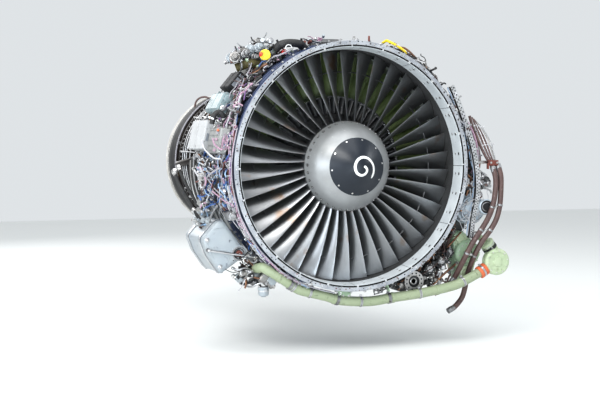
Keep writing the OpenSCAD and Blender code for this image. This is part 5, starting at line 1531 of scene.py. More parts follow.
def wiring():
    w = Part("wiring_and_tubes_detailed", ["whitebraid", "pinkbraid", "silverbraid", "white_wire", "blue", "rubber", "hose", "lightblue", "steel", "bolt", "copper", "redbrown", "orange", "yellow",
                                           "green", "box_white", "titan", "purple"])
    # harness band just outside the flange, left side: many thin strands, tied
    path = [(312, .850, .340), (304, .838, .250), (296, .830, .135), (288, .827, .062), (279, .826, .042), (270, .826, .038), (261, .827, .038), (252, .828, .040),
            (243, .829, .044), (234, .830, .046), (225, .830, .046), (216, .830, .046), (207, .830, .046), (198, .830, .046), (190, .830, .048)]
    cols = (1, 0, 1, 3, 17, 0, 2, 5, 1, 3, 17, 0, 4, 3, 1, 5, 11, 0, 3, 2, 7, 1)
    for k, m in enumerate(cols):
        rnd = random.Random(20 + k)
        ph, tw = rnd.uniform(0, 6.28), rnd.uniform(.5, 1.1) * rnd.choice((-1, 1))
        rr = rnd.uniform(.004, .0135)
        q = []
        n0, n1 = rnd.choice((0, 0, 1, 3)), 15 - rnd.choice((0, 1, 1, 3, 5))
        fine = spline([np.array(v, float) for v in path[n0:n1]], 2)
        for i, (c, R, y) in enumerate(fine):
            a = ph + tw * i
            q.append(cp(c, R + .006 + rr * .62 * math.sin(a) + rnd.uniform(-.0015, .0015), y + .016 + rr * 2.1 * math.cos(a) + rnd.uniform(-.003, .003)))
        w.tube(q, rnd.uniform(.0026, .0048), m, 6, 2)
    for k, m in enumerate((0, 1, 3, 0, 2, 1, 3, 0)):
        rnd = random.Random(140 + k)
        n0, n1 = rnd.choice((3, 4, 5, 6)), 15 - rnd.choice((0, 0, 1, 2))
        q = [cp(c + rnd.uniform(-1, 1), R - .002 + rnd.uniform(0, .006), .022 + .0035 * k + rnd.uniform(-.003, .003)) for c, R, y in path[n0:n1]]
        w.tube(q, rnd.uniform(.0028, .0042), m, 6, 4)
    c = 306.0
    rnd = random.Random(41)
    while c > 196:
        i = max(0, min(len(path) - 2, int((312 - c) / 8.71)))
        f = (path[i][0] - c) / (path[i][0] - path[i + 1][0])
        R = path[i][1] + (path[i + 1][1] - path[i][1]) * f
        y = path[i][2] + (path[i + 1][2] - path[i][2]) * f
        w.at(c, R + .006, y + .014)
        w.box((0, .002, .011), (.006, .050, .003), rnd.choice((3, 5, 5, 8, 0)), .001)
        w.box((0, -.022, .004), (.006, .003, .018), rnd.choice((3, 5, 8)), .001)
        if rnd.random() < .45:
            w.box((rnd.uniform(-.006, .006), .024, -.004), (.010, .020, .030), 8, .001)
            w.box((0, -.018, .004), (.007, .006, .016), rnd.choice((8, 3, 5)), .001)
            w.bolt((0, .026, .012), (0, 0, 1), .0040, .005, 9)
        c -= rnd.uniform(1.6, 4.4)
    w.frame()
    # short ends that leave the band, with small connectors
    for i in range(34):
        c = rnd.uniform(206, 302)
        ii = max(0, min(len(path) - 2, int((312 - c) / 8.71)))
        R, y = path[ii][1], path[ii][2]
        d = rnd.choice((-1, 1))
        q = C((c, R + .010, y + .01), (c + d * 1.2, R + .020, y + .020), (c + d * 2.6, R + .014 + rnd.uniform(0, .014), y + .05), (c + d * 3.4, R + .004, y + rnd.uniform(.07, .14)))
        w.tube(q, rnd.uniform(.0026, .0050), rnd.choice((0, 1, 3, 3, 5, 17, 2, 4)), 7, 4)
        if i % 2:
            t = unit(q[-1] - q[-2])
            w.lathe([(.0085, 0), (.0085, .004), (.0065, .006), (.0065, .020), (.004, .026), (0, .026)], q[-1] - t * .01, t, 10, rnd.choice((8, 9, 5)))
    # branches to the valves, boxes and the tank
    for q, r, m in (
            (S((212, 191, .20), (217, 195, .17), (223, 200, .13), (229, 204, .10)), .0042, 1),
            (S((214, 188, .22), (219, 193, .18), (225, 198, .13), (231, 207, .09)), .0044, 0),
            (S((220, 168, .09), (213, 172, .15), (207, 178, .22), (203, 190, .32)), .0060, 0),
            (S((221, 159, .09), (214, 158, .14), (208, 153, .20), (204, 148, .30), (202, 140, .38)), .0055, 3),
            (S((222, 150, .09), (217, 147, .10), (214, 143, .10), (213, 138, .10)), .0060, 1),
            (S((217, 206, .10), (213, 212, .20), (210, 222, .32), (214, 232, .40)), .0060, 2),
            (S((247, 74, .26), (250, 69, .33), (252, 60, .40), (252, 52, .45)), .0055, 0),
            (S((259, 66, .22), (262, 62, .27), (266, 60, .29), (268, 52, .32)), .0050, 4)):
        w.tube(q, r, m, 8, 7)
    # light parallel tubes that sweep round the case, brown hoses beside them
    for k in range(4):
        o = .016 * k
        pipe(w, C((267, .842, .62 - o), (262, .850, .60 - o), (258, .862, .60 - o), (253, .868, .63 - o), (249, .862, .68 - o)), .0052, (5, 8, 0, 16)[k], 9)
    for k, (q, r, m) in enumerate((
            (S((174, 170, .88), (178, 182, .80), (184, 193, .72), (190, 203, .64), (196, 214, .55)), .0125, 5),
            (S((178, 166, .84), (183, 178, .76), (189, 190, .68), (195, 201, .58), (200, 213, .50)), .0105, 5),
            (S((201, 173, .34), (203, 180, .33), (203.5, 188, .33), (202.5, 196, .34), (200.5, 205, .36)), .0150, 6),
            (S((193, 168, .62), (199, 178, .52), (203, 192, .44), (207, 207, .36)), .0070, 3),
            (S((196, 166, .60), (202, 176, .50), (206, 190, .42), (209, 203, .34)), .0060, 4),
            (S((198, 172, .55), (204, 170, .45), (210, 173, .34), (215, 178, .24)), .0065, 3),
            (S((196, 182, .58), (203, 180, .45), (210, 183, .34), (214, 190, .25)), .0050, 11),
            (S((199, 157, .50), (205, 160, .42), (211, 162, .30), (217, 165, .18)), .0055, 5),
            (S((198, 162, .50), (204, 165, .42), (210, 168, .30), (216, 172, .18)), .0050, 3),
            (S((197, 152, .55), (201, 158, .50), (204, 166, .44), (205, 176, .40)), .0060, 10),
            (S((205, 208, .36), (211, 205, .28), (217, 203, .20), (221, 196, .13)), .0050, 4),
            (S((201, 200, .42), (208, 198, .34), (214, 200, .24), (219, 208, .14)), .0055, 5))):
        pipe(w, q, r, m, 9 if r > .0058 else None)
    for u, v, y in ((196, 147, .56), (203, 177, .45), (209, 189, .34), (206, 198, .38), (200, 186, .50), (212, 176, .27), (194, 158, .62), (190, 149, .70)):
        o = sight(u, v, y)
        w.lathe([(.010, 0), (.014, .003), (.014, .018), (.009, .020), (.009, .034), (0, .034)], o, (.3, -.7, .4), 8, 8)
    # dense thin runs over the left side: along the case, across it and in loops
    rnd = random.Random(7)
    pick = (4, 4, 4, 3, 3, 3, 0, 5, 5, 5, 11, 1, 7, 10, 8, 6)
    for i in range(92):
        c = rnd.uniform(250, 285)
        y = rnd.uniform(.13, .60)
        R = .826 + abs(rnd.gauss(0, .028))
        kind = rnd.random()
        q = []
        K = rnd.choice((5, 6, 7))
        dc, dy = (rnd.uniform(1.2, 3.6), rnd.uniform(-.02, .02)) if kind < .45 else ((rnd.uniform(-.6, .6), rnd.uniform(.03, .07)) if kind < .70 else (rnd.uniform(.6, 2.0), rnd.uniform(.02, .05)))
        for k in range(K):
            q.append(cp(c - dc * (k - K / 2) + rnd.uniform(-.5, .5), R + rnd.uniform(-.006, .014) * (0 < k < K - 1), min(.66, max(.12, y + dy * (k - K / 2) + rnd.uniform(-.012, .012)))))
        w.tube(q, rnd.choice((.0020, .0026, .0032, .0040, .0052)), rnd.choice(pick), 6, 3)
    for i in range(30):
        c, y, R = rnd.uniform(252, 284), rnd.uniform(.14, .58), rnd.uniform(.832, .880)
        w.at(c, R, y, rnd.uniform(0, 90))
        k = i % 3
        if k == 0:
            w.box((0, 0, 0), (rnd.uniform(.014, .030), rnd.uniform(.012, .024), rnd.uniform(.010, .020)), rnd.choice((8, 5, 15, 4, 7, 11)), .002)
            w.bolt((0, 0, .008), (0, 0, 1), .0036, .004, 9)
        elif k == 1:
            w.lathe([(.0085, -.016), (.0095, -.012), (.0095, -.004), (.0075, -.002), (.0075, .010), (.0050, .016), (0, .016)], (0, 0, 0), (rnd.uniform(-1, 1), -1, .2), 10, rnd.choice((8, 9, 5, 7)))
        else:
            w.lathe([(.0070, -.0030), (.0082, -.0026), (.0082, .0026), (.0070, .0030)], (0, 0, 0), (1, .2, 0), 12, rnd.choice((3, 5, 12, 4)))
    w.frame()
    # two thin rails parallel with the flange, lower left
    for dy, R, m in ((.030, .842, 8), (.052, .846, 3)):
        w.tube([cp(262 - 4.2 * k, R, .030 + dy) for k in range(17)], .0048, m, 8, 4)
    for k in range(6):
        w.at(256 - 11 * k, .824, .060)
        w.box((0, .010, .014), (.010, .052, .004), 8, .001)
        w.box((0, .036, .006), (.010, .004, .022), 8, .001)
        w.bolt((0, .018, .016), (0, 0, 1), .0034, .004, 9)
    w.frame()
    # left thin tubes behind, at the frame
    for k in range(4):
        c0 = 294 - 5.5 * k
        w.tube(C((c0, .826, .960), (c0 - .6, .834, .900), (c0 - 1.5, .836, .820), (c0 - 4, .848, .740), (c0 - 7, .846, .660)), .0068, (8, 5, 16, 5)[k], 10, 6)
    # perforated cable rail on the right, its pierced face to the front
    rail = spline(S((452, 86, .078), (459.5, 105, .076), (466.5, 125, .074), (471.8, 142, .072), (475.4, 158, .070), (477.6, 174, .068), (478.0, 190, .066), (476.4, 204, .066),
                    (473.6, 217, .066), (472.0, 231, .068), (471.0, 238, .074)), 5)
    for i in range(len(rail) - 1):
        a, b = rail[i], rail[i + 1]
        L = float(np.linalg.norm(b - a))
        t = unit(b - a)
        ex = unit(np.cross((0, 1, 0), t))
        w.frame((a + b) / 2, ex, (0, 1, 0), t)
        w.box((0, .004, 0), (.0290, .014, L * 1.03), (15, 15, 3, 15, 15)[i % 5], .001)
        w.box((.0160, .014, 0), (.003, .034, L * 1.0), 5, .001)
        w.box((-.0160, .014, 0), (.003, .030, L * 1.0), 8, .001)
        w.box((-.0062, -.0032, L * .22), (.0075, .001, .0085), 5, .0005)
        w.box((.0066, -.0032, -L * .22), (.0070, .001, .0080), 5, .0005)
        if i % 3 == 0:
            w.box((0, -.0034, L * .5), (.0290, .001, .0022), 5, .0005)
        if i % 4 == 1:
            w.bolt((.003, -.003, L * .34), (0, -1, 0), .0034, .004, 9)
        if i % 7 == 3:
            w.box((-.022, .020, 0), (.050, .004, .012), 8, .001)
            w.bolt((-.030, .017, 0), (0, -1, 0), .0042, .005, 9)
    w.frame()
    rnd = random.Random(17)
    for k, (off, r, m) in enumerate(((.018, .0040, 3), (.024, .0032, 7), (-.017, .0034, 5), (-.023, .0030, 8))):
        q = []
        for i in range(0, len(rail), 4):
            t = unit(rail[min(i + 1, len(rail) - 1)] - rail[max(i - 1, 0)])
            ex = unit(np.cross((0, 1, 0), t))
            q.append(rail[i] + ex * (off + rnd.uniform(-.004, .004)) + np.array((0, .020 + rnd.uniform(-.008, .008), 0)))
        w.tube(q, r, m, 8, 4)
    # thin white lockwire loops in front of the starter
    for i in range(9):
        u, v = rnd.uniform(464, 482), rnd.uniform(196, 226)
        q = [sight(u + rnd.uniform(-9, 9), v + rnd.uniform(-9, 9), .075 + rnd.uniform(-.012, .012)) for k in range(6)]
        w.tube(q, .0022, 3, 6, 6)
    # thin pink and grey tubes beside it
    for k in range(6):
        dc = 1.2 * k
        q = C((64 + dc, .838, .30), (66 + dc, .862, .20), (70 + dc, .905 + .006 * k, .11 + .012 * k), (76 + dc, .932 + .010 * k, .10 + .012 * k), (83 + dc, .945 + .010 * k, .10 + .012 * k),
              (90 + dc * .6, .938 + .008 * k, .12 + .012 * k), (96 + dc * .4, .905, .20))
        w.tube(q, .0052 if k % 2 else .0065, (1, 3, 8, 1, 10, 8)[k], 8, 6)
    for c, R in ((76, .955), (86, .965)):
        w.at(c, R, .095)
        w.box((0, .035, .006), (.009, .085, .004), 8, .001)
        w.bolt((0, .020, .008), (0, 0, 1), .0035, .004, 9)
    w.frame()
    # four tubes running aft along the right side
    for k in range(4):
        c = 64 + 12 * k
        w.tube(C((c - 3, .828, .13), (c - 1, .838, .17), (c, .842, .30), (c + 1, .842, .45), (c + 2, .838, .62), (c + 3, .828, .76)), .0085, (8, 3, 10, 8)[k], 10, 6)
    # clutter between the flange and the rail
    rnd = random.Random(11)
    for i in range(34):
        c = rnd.uniform(44, 100)
        y = rnd.uniform(.05, .30)
        R = rnd.uniform(.826, .866)
        q = [cp(c + rnd.uniform(-2.5, 2.5) + k * rnd.uniform(.2, 1.6), R + rnd.uniform(-.004, .02), y + rnd.uniform(-.03, .03)) for k in range(6)]
        w.tube(q, rnd.choice((.003, .0045, .0055, .007)), rnd.choice((6, 6, 3, 5, 8, 5, 10, 5, 6, 11)), 6, 3)
    for i in range(16):
        c = 45 + 3.6 * i + rnd.uniform(-.8, .8)
        y = rnd.uniform(.045, .16)
        w.at(c, .826, y, rnd.uniform(-30, 30))
        w.box((0, .015, .014), (.022 + .012 * (i % 3), .034, .026), (8, 6, 15, 16)[i % 4], .003)
        w.bolt((0, .010, .027), (0, 0, 1), .0042, .004, 9)
        if i % 2:
            plug(w, (0, -.003, .014), (0, -1, 0), .008, .022, 8, 9)
    w.frame()
    # yellow strap, red pin, bolt at the top
    q = S((386.7, 40.5, .040), (390.6, 42.3, .034), (395.4, 44.9, .032), (400.2, 47.9, .034), (404.8, 51.4, .040))
    w.tube(q, .0084, 13, 10, 6)
    w.tube([q[0], q[0] + np.array((-.012, .030, -.012)), q[0] + np.array((-.020, .060, -.030))], .0088, 13, 9, 4)
    w.tube([q[-1], q[-1] + np.array((.016, .020, -.022)), q[-1] + np.array((.020, .060, -.045))], .0088, 13, 9, 4)
    w.box(tuple(q[2] + np.array((0, -.010, 0))), (.022, .003, .012), 13, .001, ((0, 1, 0), 26))
    w.at(369 - 360 + 1.5, .822, .030)
    w.frame()
    o = sight(369, 39.5, .020)
    w.lathe([(.006, -.004), (.007, .0), (.007, .030), (.004, .036), (0, .036)], o + np.array((0, 0, -.012)), (0, 0, 1), 12, 11)
    o = sight(354, 38, .020)
    w.bolt(o + np.array((0, 0, -.008)), (0, 0, 1), .009, .018, 9)
    # small clips with screws round the front of the case, outside the flange
    for c in list(range(318, 360, 6)) + list(range(2, 44, 6)) + list(range(104, 214, 7)):
        w.at(c, .8225, .022)
        w.box((0, .018, .002), (.014, .030, .005), 8, .001)
        w.bolt((0, .012, .0045), (0, 0, 1), .0042, .005, 9)
    w.frame()
    w.done("engine", ["wiring_and_tubes"], "harness")


wiring()


def heap(a, rnd, spot, n1, n2, n3, m1, m2, m3, s=1.0):
    """Small fittings, brackets and short tubes at the places that spot() gives."""
    for i in range(n1):
        o, m, r = spot(), rnd.choice(m1), rnd.uniform(.008, .016) * s
        ax = (rnd.uniform(-.8, .8), -1, rnd.uniform(-.6, .6))
        if i % 2:
            a.lathe([(r * .8, r * 2.6), (r, r * 2.4), (r, r * .9), (r * 1.25, r * .8), (r * 1.25, 0), (r * .7, -r * .2), (r * .6, -r * 1.1), (0, -r * 1.2)], o, ax, 12, m)
        else:
            a.lathe([(r * .7, r * 2.2), (r * 1.1, r * 2.0), (r * 1.1, r * .6), (r * 1.2, r * .5), (r * 1.2, -r * .2), (r * .5, -r * .4), (0, -r * .4)], o, ax, 12, m)
            a.bolt(o - unit(np.array(ax)) * r * .4, ax, r * .5, r * .5, 9, False)
    for i in range(n2):
        o = spot()
        a.box(tuple(o), (rnd.uniform(.012, .040) * s, rnd.uniform(.012, .040) * s, rnd.uniform(.008, .026) * s), rnd.choice(m2), .002, ((rnd.uniform(-.3, .3), 1, 0), rnd.uniform(-70, 70)))
        if i % 3 == 0:
            a.bolt(o + np.array((0, -.020 * s, 0)), (0, -1, 0), .0042, .005, 9)
    for i in range(n3):
        q = [spot()]
        d = unit(np.array((rnd.uniform(-1, 1), rnd.uniform(-.4, .4), rnd.uniform(-1, 1))))
        for k in range(4):
            d = unit(d + np.array((rnd.uniform(-.7, .7), rnd.uniform(-.3, .3), rnd.uniform(-.7, .7))))
            q.append(q[-1] + d * rnd.uniform(.014, .030) * s)
        a.tube(q, rnd.choice((.0026, .0036, .0050, .0070)), rnd.choice(m3), 6, 3)


def side_runs():
    mats = ["whitebraid", "pinkbraid", "silverbraid", "white_wire", "blue", "rubber", "hose", "lightblue", "steel", "bolt", "copper", "redbrown", "orange", "yellow",
            "green", "box_white", "titan", "purple", "gear_dark"]
    a = Part("left_side_runs", mats)
    clutter(a, random.Random(51), 252, 286, .812, .862, .13, .66, 46, 52, 34, (4, 4, 3, 3, 0, 5, 5, 5, 11, 7, 8, 6), (8, 5, 15, 7, 16, 9, 4))
    clutter(a, random.Random(52), 286, 306, .812, .850, .40, .80, 18, 22, 10, (3, 8, 5, 5, 6, 10, 0), (8, 5, 16, 9))
    clutter(a, random.Random(53), 212, 232, .812, .850, .10, .34, 16, 22, 18, (3, 8, 5, 5, 6, 10, 0, 4), (8, 5, 16, 9, 15))
    clutter(a, random.Random(54), 286, 311, .814, .862, .12, .38, 30, 60, 32, (1, 17, 0, 3, 5, 6, 10, 16, 2, 1, 0, 5, 8), (8, 5, 15, 16, 9, 1, 5))
    clutter(a, random.Random(55), 309, 332, .816, .862, .24, .46, 22, 34, 22, (1, 0, 17, 5, 6, 10, 2, 5, 8), (8, 5, 15, 16, 9, 0, 5))
    clutter(a, random.Random(56), 250, 276, .820, .875, .10, .50, 10, 50, 26, (4, 4, 3, 3, 0, 7, 5, 4, 1), (8, 15, 7, 4, 9, 16))
    for d in (1,):
        a.tube(S((192.5 + 2 * d, 104 + 3 * d, .74), (194.5 + 2 * d, 98.5 + 2.5 * d, .72), (198.5 + 2 * d, 95.2 + 2.5 * d, .70), (203.5 + 2 * d, 94.5 + 2.5 * d, .68), (208 + d, 96 + 2.5 * d, .66)), .0080 - .0015 * d, (6, 6)[d], 12, 7)
    r3 = random.Random(82)
    heap(a, r3, lambda: sight(r3.uniform(237, 262), r3.uniform(254, 281), r3.uniform(.15, .27)), 16, 24, 26, (18, 5, 16, 8), (18, 5, 16, 5, 8), (5, 6, 8, 10, 5, 3))
    heap(a, r3, lambda: sight(r3.uniform(199, 218), r3.uniform(158, 206), r3.uniform(.20, .42)), 10, 12, 64, (8, 9, 16, 7, 15), (15, 8, 5, 7, 16), (4, 3, 0, 7, 5, 7, 3, 2, 1), .62)
    # small bits on the shell of the tank and above it
    rnd = random.Random(57)
    for i in range(26):
        u, v = rnd.uniform(193, 214), rnd.uniform(212, 226)
        o = sight(u, v, rnd.uniform(.38, .52))
        if i % 3 == 0:
            a.box(tuple(o), (rnd.uniform(.016, .040), rnd.uniform(.02, .04), rnd.uniform(.012, .030)), rnd.choice((5, 8, 15, 16)), .003, ((0, 1, 0), rnd.uniform(-60, 60)))
        elif i % 3 == 1:
            a.lathe([(.010, -.02), (.013, -.016), (.013, .0), (.009, .002), (.009, .020), (0, .022)], o, (rnd.uniform(-1, 1), -1, rnd.uniform(-.4, .4)), 12, rnd.choice((8, 9, 5, 16)))
        else:
            a.tube([o + np.array([rnd.uniform(-.05, .05) for _ in range(3)]) * (1 if k else 0) for k in range(4)], rnd.uniform(.003, .007), rnd.choice((3, 5, 8, 0, 7, 10)), 7, 4)
    # ribbed dark runs that curve down behind, lower left
    for k in range(6):
        d = .030 * k
        a.tube(C((276 - k, .850, .84 + d), (268 - k, .862, .80 + d), (260 - k, .868, .76 + d), (252 - k, .862, .72 + d), (246 - k, .846, .70 + d)), .0085, (5, 8, 5, 5, 16, 5)[k], 9, 6)
    a.done("engine", slot="harness")
    b = Part("right_side_runs", mats)
    clutter(b, random.Random(61), 42, 100, .812, .866, .115, .30, 70, 56, 34, (6, 6, 8, 5, 3, 5, 5, 2, 10, 6), (5, 5, 16, 8, 10, 11))
    clutter(b, random.Random(62), 92, 114, .812, .846, .14, .30, 24, 26, 16, (6, 6, 5, 5, 3, 8, 10), (8, 5, 16, 9, 11))
    clutter(b, random.Random(63), 116, 143, .820, .925, .12, .27, 74, 50, 24, (6, 6, 10, 5, 5, 8, 3), (8, 5, 16, 9, 10, 12))
    clutter(b, random.Random(65), 20, 44, .814, .858, .05, .24, 34, 36, 30, (6, 5, 8, 3, 5, 10, 16), (8, 5, 16, 9, 15))
    clutter(b, random.Random(66), 140, 164, .812, .880, .12, .34, 54, 36, 20, (6, 5, 10, 5, 5, 8), (8, 5, 16, 9, 10))
    clutter(b, random.Random(67), 46, 82, .830, .895, .125, .28, 48, 34, 20, (6, 6, 5, 5, 3, 8, 10, 2), (5, 5, 16, 8, 5))
    for k in range(17):
        c = 60 + 3.2 * k
        h = .100 if c < 78 else .150
        b.at(c, .822 + h / 2, .205 + .004 * (k % 2))
        b.box((0, 0, .0), (.058, .010, h), 5, .003)
        b.box((0, -.010, .030 - .05 * (k % 2)), (.040, .014, .012), (18, 5, 16)[k % 3], .002)
        b.box((.010, -.008, -.020 + .03 * (k % 2)), (.014, .010, .050), (18, 5, 5)[k % 3], .002)
    for k in range(11):
        c = 124 + 3.6 * k
        h = (.160, .165, .165, .160, .150, .135, .120, .105, .090, .080, .070)[k]
        b.at(c, .822 + h / 2, .252 + .004 * (k % 2))
        b.box((0, 0, .0), (.066, .012, h), 18, .004)
        b.bolt((.012, -.006, .02), (0, -1, 0), .0046, .005, 9)
    b.frame()
    # small machines beside the hand-turning pad
    for c, R, f in ((157.5, .848, .90), (139.2, .925, 1.0), (133.2, .950, .92), (128.3, .958, .80)):
        o = np.array(cp(c, R, .0))
        b.lathe([(.022 * f, .128), (.036 * f, .130), (.043 * f, .138), (.043 * f, .176), (.037 * f, .180), (.037 * f, .196), (.046 * f, .199), (.046 * f, .240), (.030 * f, .246), (0, .246)], o, (0, 1, 0), 26, 18, c0=False)
        b.lathe([(.022 * f, .128), (.020 * f, .133), (.010 * f, .133), (.009 * f, .126), (0, .126)], o, (0, 1, 0), 22, 8, c0=False)
        for k in range(6):
            an = math.pi * k / 3 + .3
            b.bolt(o + np.array((.031 * f * math.cos(an), .1295, .031 * f * math.sin(an))), (0, -1, 0), .0036, .005, 9, False)
    # dark shields behind the runs: beside the gearbox and up the right side
    for k in range(12):
        b.at(110 + 1.3 * k, .868, .262 + .004 * (k % 2))
        b.box((0, 0, .010), (.030, .012, .118), 5, .004)
        for z in (-.030, .040):
            b.bolt((.0, -.007, z), (0, -1, 0), .0046, .005, 9)
    for k in range(20):
        b.at(26 + 3.7 * k, .832, .150 + .012 * (k % 3))
        b.box((0, 0, .004), (.040, .050, .030 + .014 * (k % 3)), (5, 5, 16, 5)[k % 4], .004)
    b.frame()
    # tubes that gather from the top right into the hose bracket
    rnd = random.Random(64)
    for k, (r, m) in enumerate(((.0100, 6), (.0085, 2), (.0110, 6), (.0075, 8), (.0095, 6), (.0065, 3), (.0080, 16), (.0060, 2))):
        e = 1.6 * k
        q = S((469.5 + e * .55, 116 + e * .5, .17), (472.5 + e * .85, 126 + e * .2, .15), (476.5 + e * .95, 136, .13), (480.5 + e * .95, 146 - e * .1, .10), (486 + e * .75, 157, .080),
              (490 + e * .55, 163, .076))
        b.tube(q, r, m, 10, 6)
        if k % 2:
            for j in (1, 3):
                b.clamp(q[j], q[j + 1] - q[j], r + .001, 8, .010, .002)
    # brown pipes ahead of the gearbox
    for q, r, m in ((S((461, 232, .16), (455, 239, .15), (448, 247, .15), (442, 256, .16), (440, 262, .20)), .0060, 10),
                    (S((454, 230, .20), (449, 240, .18), (446, 252, .17), (441, 264, .17), (432, 272, .20)), .0095, 6),
                    (S((446, 240, .22), (443, 250, .19), (440, 262, .17), (437, 272, .17), (434, 282, .20)), .0085, 6),
                    (S((458, 262, .16), (451, 268, .14), (444, 274, .14), (436, 282, .15), (430, 286, .18)), .0075, 10),
                    (S((452, 250, .18), (446, 262, .15), (441, 272, .14), (438, 282, .15)), .0060, 3),
                    (S((447, 234, .24), (441, 246, .20), (435, 258, .18), (430, 268, .20)), .0070, 8)):
        pipe(b, q, r, m, 9 if r > .0065 else None)
    r2 = random.Random(81)
    heap(b, r2, lambda: sight(r2.uniform(464, 489), r2.uniform(172, 190), r2.uniform(.095, .165)), 20, 14, 26, (8, 16, 5, 9, 8, 18), (5, 18, 8, 16), (8, 2, 5, 10, 3, 6))
    heap(b, r2, lambda: sight(r2.uniform(424, 452), r2.uniform(250, 284), r2.uniform(.125, .20)), 16, 26, 30, (18, 18, 16, 8), (18, 5, 16, 5), (6, 10, 5, 6, 8, 3, 1))
    heap(b, r2, lambda: sight(r2.uniform(392, 432), r2.uniform(279, 291), r2.uniform(.14, .24)), 10, 18, 16, (18, 18, 16, 5), (18, 5, 16, 5), (5, 10, 5, 6, 8))
    # two round fittings above the starter
    for u, v, rr in ((465.5, 181, .026), (473, 184, .021), (482, 183, .018)):
        o = sight(u, v, .095)
        b.lathe([(rr * .75, .10), (rr, .098), (rr, .04), (rr * .9, .036), (rr * .9, .010), (rr * 1.08, .008), (rr * 1.08, -.006), (rr * .9, -.010), (rr * .62, -.010), (rr * .60, .0), (0, .0)], o, (0, 1, 0), 24, 8)
        for i in range(6):
            an = math.pi * i / 3
            b.bolt(o + np.array((rr * .98 * math.cos(an), -.006, rr * .98 * math.sin(an))), (0, -1, 0), .0028, .004, 9, False)
    for u, v in ((476, 179), (486, 182), (489, 186)):
        b.box(tuple(sight(u, v, .09)), (.022, .03, .020), 15, .002)
    b.done("engine", slot="harness")


side_runs()


def top_cluster():
    """Many small valves, brackets, wires and tubes heaped at the top left of the case."""
    a = Part("top_left_fittings", ["dull_steel", "steel", "bolt", "white_paint", "rubber", "yellow", "blue", "lightblue", "green", "titan", "pinkbraid", "whitebraid", "redbrown", "copper", "tank", "black"])
    rnd = random.Random(71)

    def spot(d=0.0):
        f = rnd.random()
        return sight(232 + 31 * f + rnd.uniform(-1.5, 1.5), 59 - 15 * f + rnd.uniform(-6, 3.5), rnd.uniform(.43, .52) + d)

    for i in range(26):
        o, m = spot(), rnd.choice((0, 14, 14, 1, 9, 14, 4, 0, 9))
        ax = (rnd.uniform(-.8, .8), -1, rnd.uniform(-.6, .8))
        r = rnd.uniform(.009, .019)
        k = i % 3
        if k == 0:
            a.lathe([(r * .8, r * 3), (r, r * 2.8), (r, r * .9), (r * 1.25, r * .8), (r * 1.25, 0), (r * .7, -r * .2), (r * .6, -r * 1.1), (0, -r * 1.2)], o, ax, 16, m)
        elif k == 1:
            a.lathe([(r * .7, r * 2.4), (r * 1.1, r * 2.2), (r * 1.1, r * 1.4), (r * .8, r * 1.3), (r * .8, r * .6), (r * 1.2, r * .5), (r * 1.2, -r * .2), (r * .5, -r * .4), (0, -r * .4)], o, ax, 14, m)
            a.bolt(o - unit(np.array(ax)) * r * .0, ax, r * .4, r * .5, 2)
        else:
            a.lathe([(r * 1.1, r * 1.6), (r * 1.1, 0), (r * .9, -r * .3), (0, -r * .4)], o, ax, 6, m)
    for i in range(22):
        o = spot()
        a.box(tuple(o), (rnd.uniform(.012, .042), rnd.uniform(.012, .050), rnd.uniform(.008, .028)), rnd.choice((0, 14, 9, 14, 0, 15, 4, 1, 9, 12, 14)), .002, ((rnd.uniform(-.3, .3), 1, 0), rnd.uniform(-70, 70)))
        if i % 2:
            a.bolt(o + np.array((0, -.022, 0)), (0, -1, 0), .0045, .006, 2)
    for i in range(28):
        o = spot()
        q = [o]
        d = unit(np.array((rnd.uniform(-1, 1), rnd.uniform(-.4, .4), rnd.uniform(-1, 1))))
        for k in range(4):
            d = unit(d + np.array((rnd.uniform(-.7, .7), rnd.uniform(-.3, .3), rnd.uniform(-.7, .7))))
            q.append(q[-1] + d * rnd.uniform(.012, .024))
        a.tube(q, rnd.choice((.0026, .0034, .0044, .0055)), (4, 11, 0, 10, 1, 4, 14, 13, 14, 11, 0, 4)[i % 12], 7, 4)
    # small bits along the top, right of the rubber elbow
    for i in range(22):
        u = rnd.choice((rnd.uniform(266, 279), rnd.uniform(299, 326)))
        v = 49 - (u - 264) * .17 + rnd.uniform(-2.4, 2.0)
        o = sight(u, v, rnd.uniform(.30, .40))
        k = i % 3
        if k == 0:
            a.box(tuple(o), (rnd.uniform(.014, .036), .03, rnd.uniform(.010, .020)), rnd.choice((0, 14, 4, 15, 12, 10)), .002, ((0, 1, 0), rnd.uniform(-40, 40)))
        elif k == 1:
            a.lathe([(.008, .03), (.010, .028), (.010, .0), (.006, -.004), (0, -.004)], o, (rnd.uniform(-.5, .5), -1, .5), 12, rnd.choice((0, 1, 14, 4, 12)))
        else:
            a.tube([o + np.array((.024 * j, rnd.uniform(-.01, .01), rnd.uniform(-.008, .008) - .004 * j)) for j in range(-2, 3)], rnd.choice((.003, .0045)), rnd.choice((4, 10, 11, 1, 13)), 7, 4)
    a.done("engine", slot="bare_steel")


top_cluster()


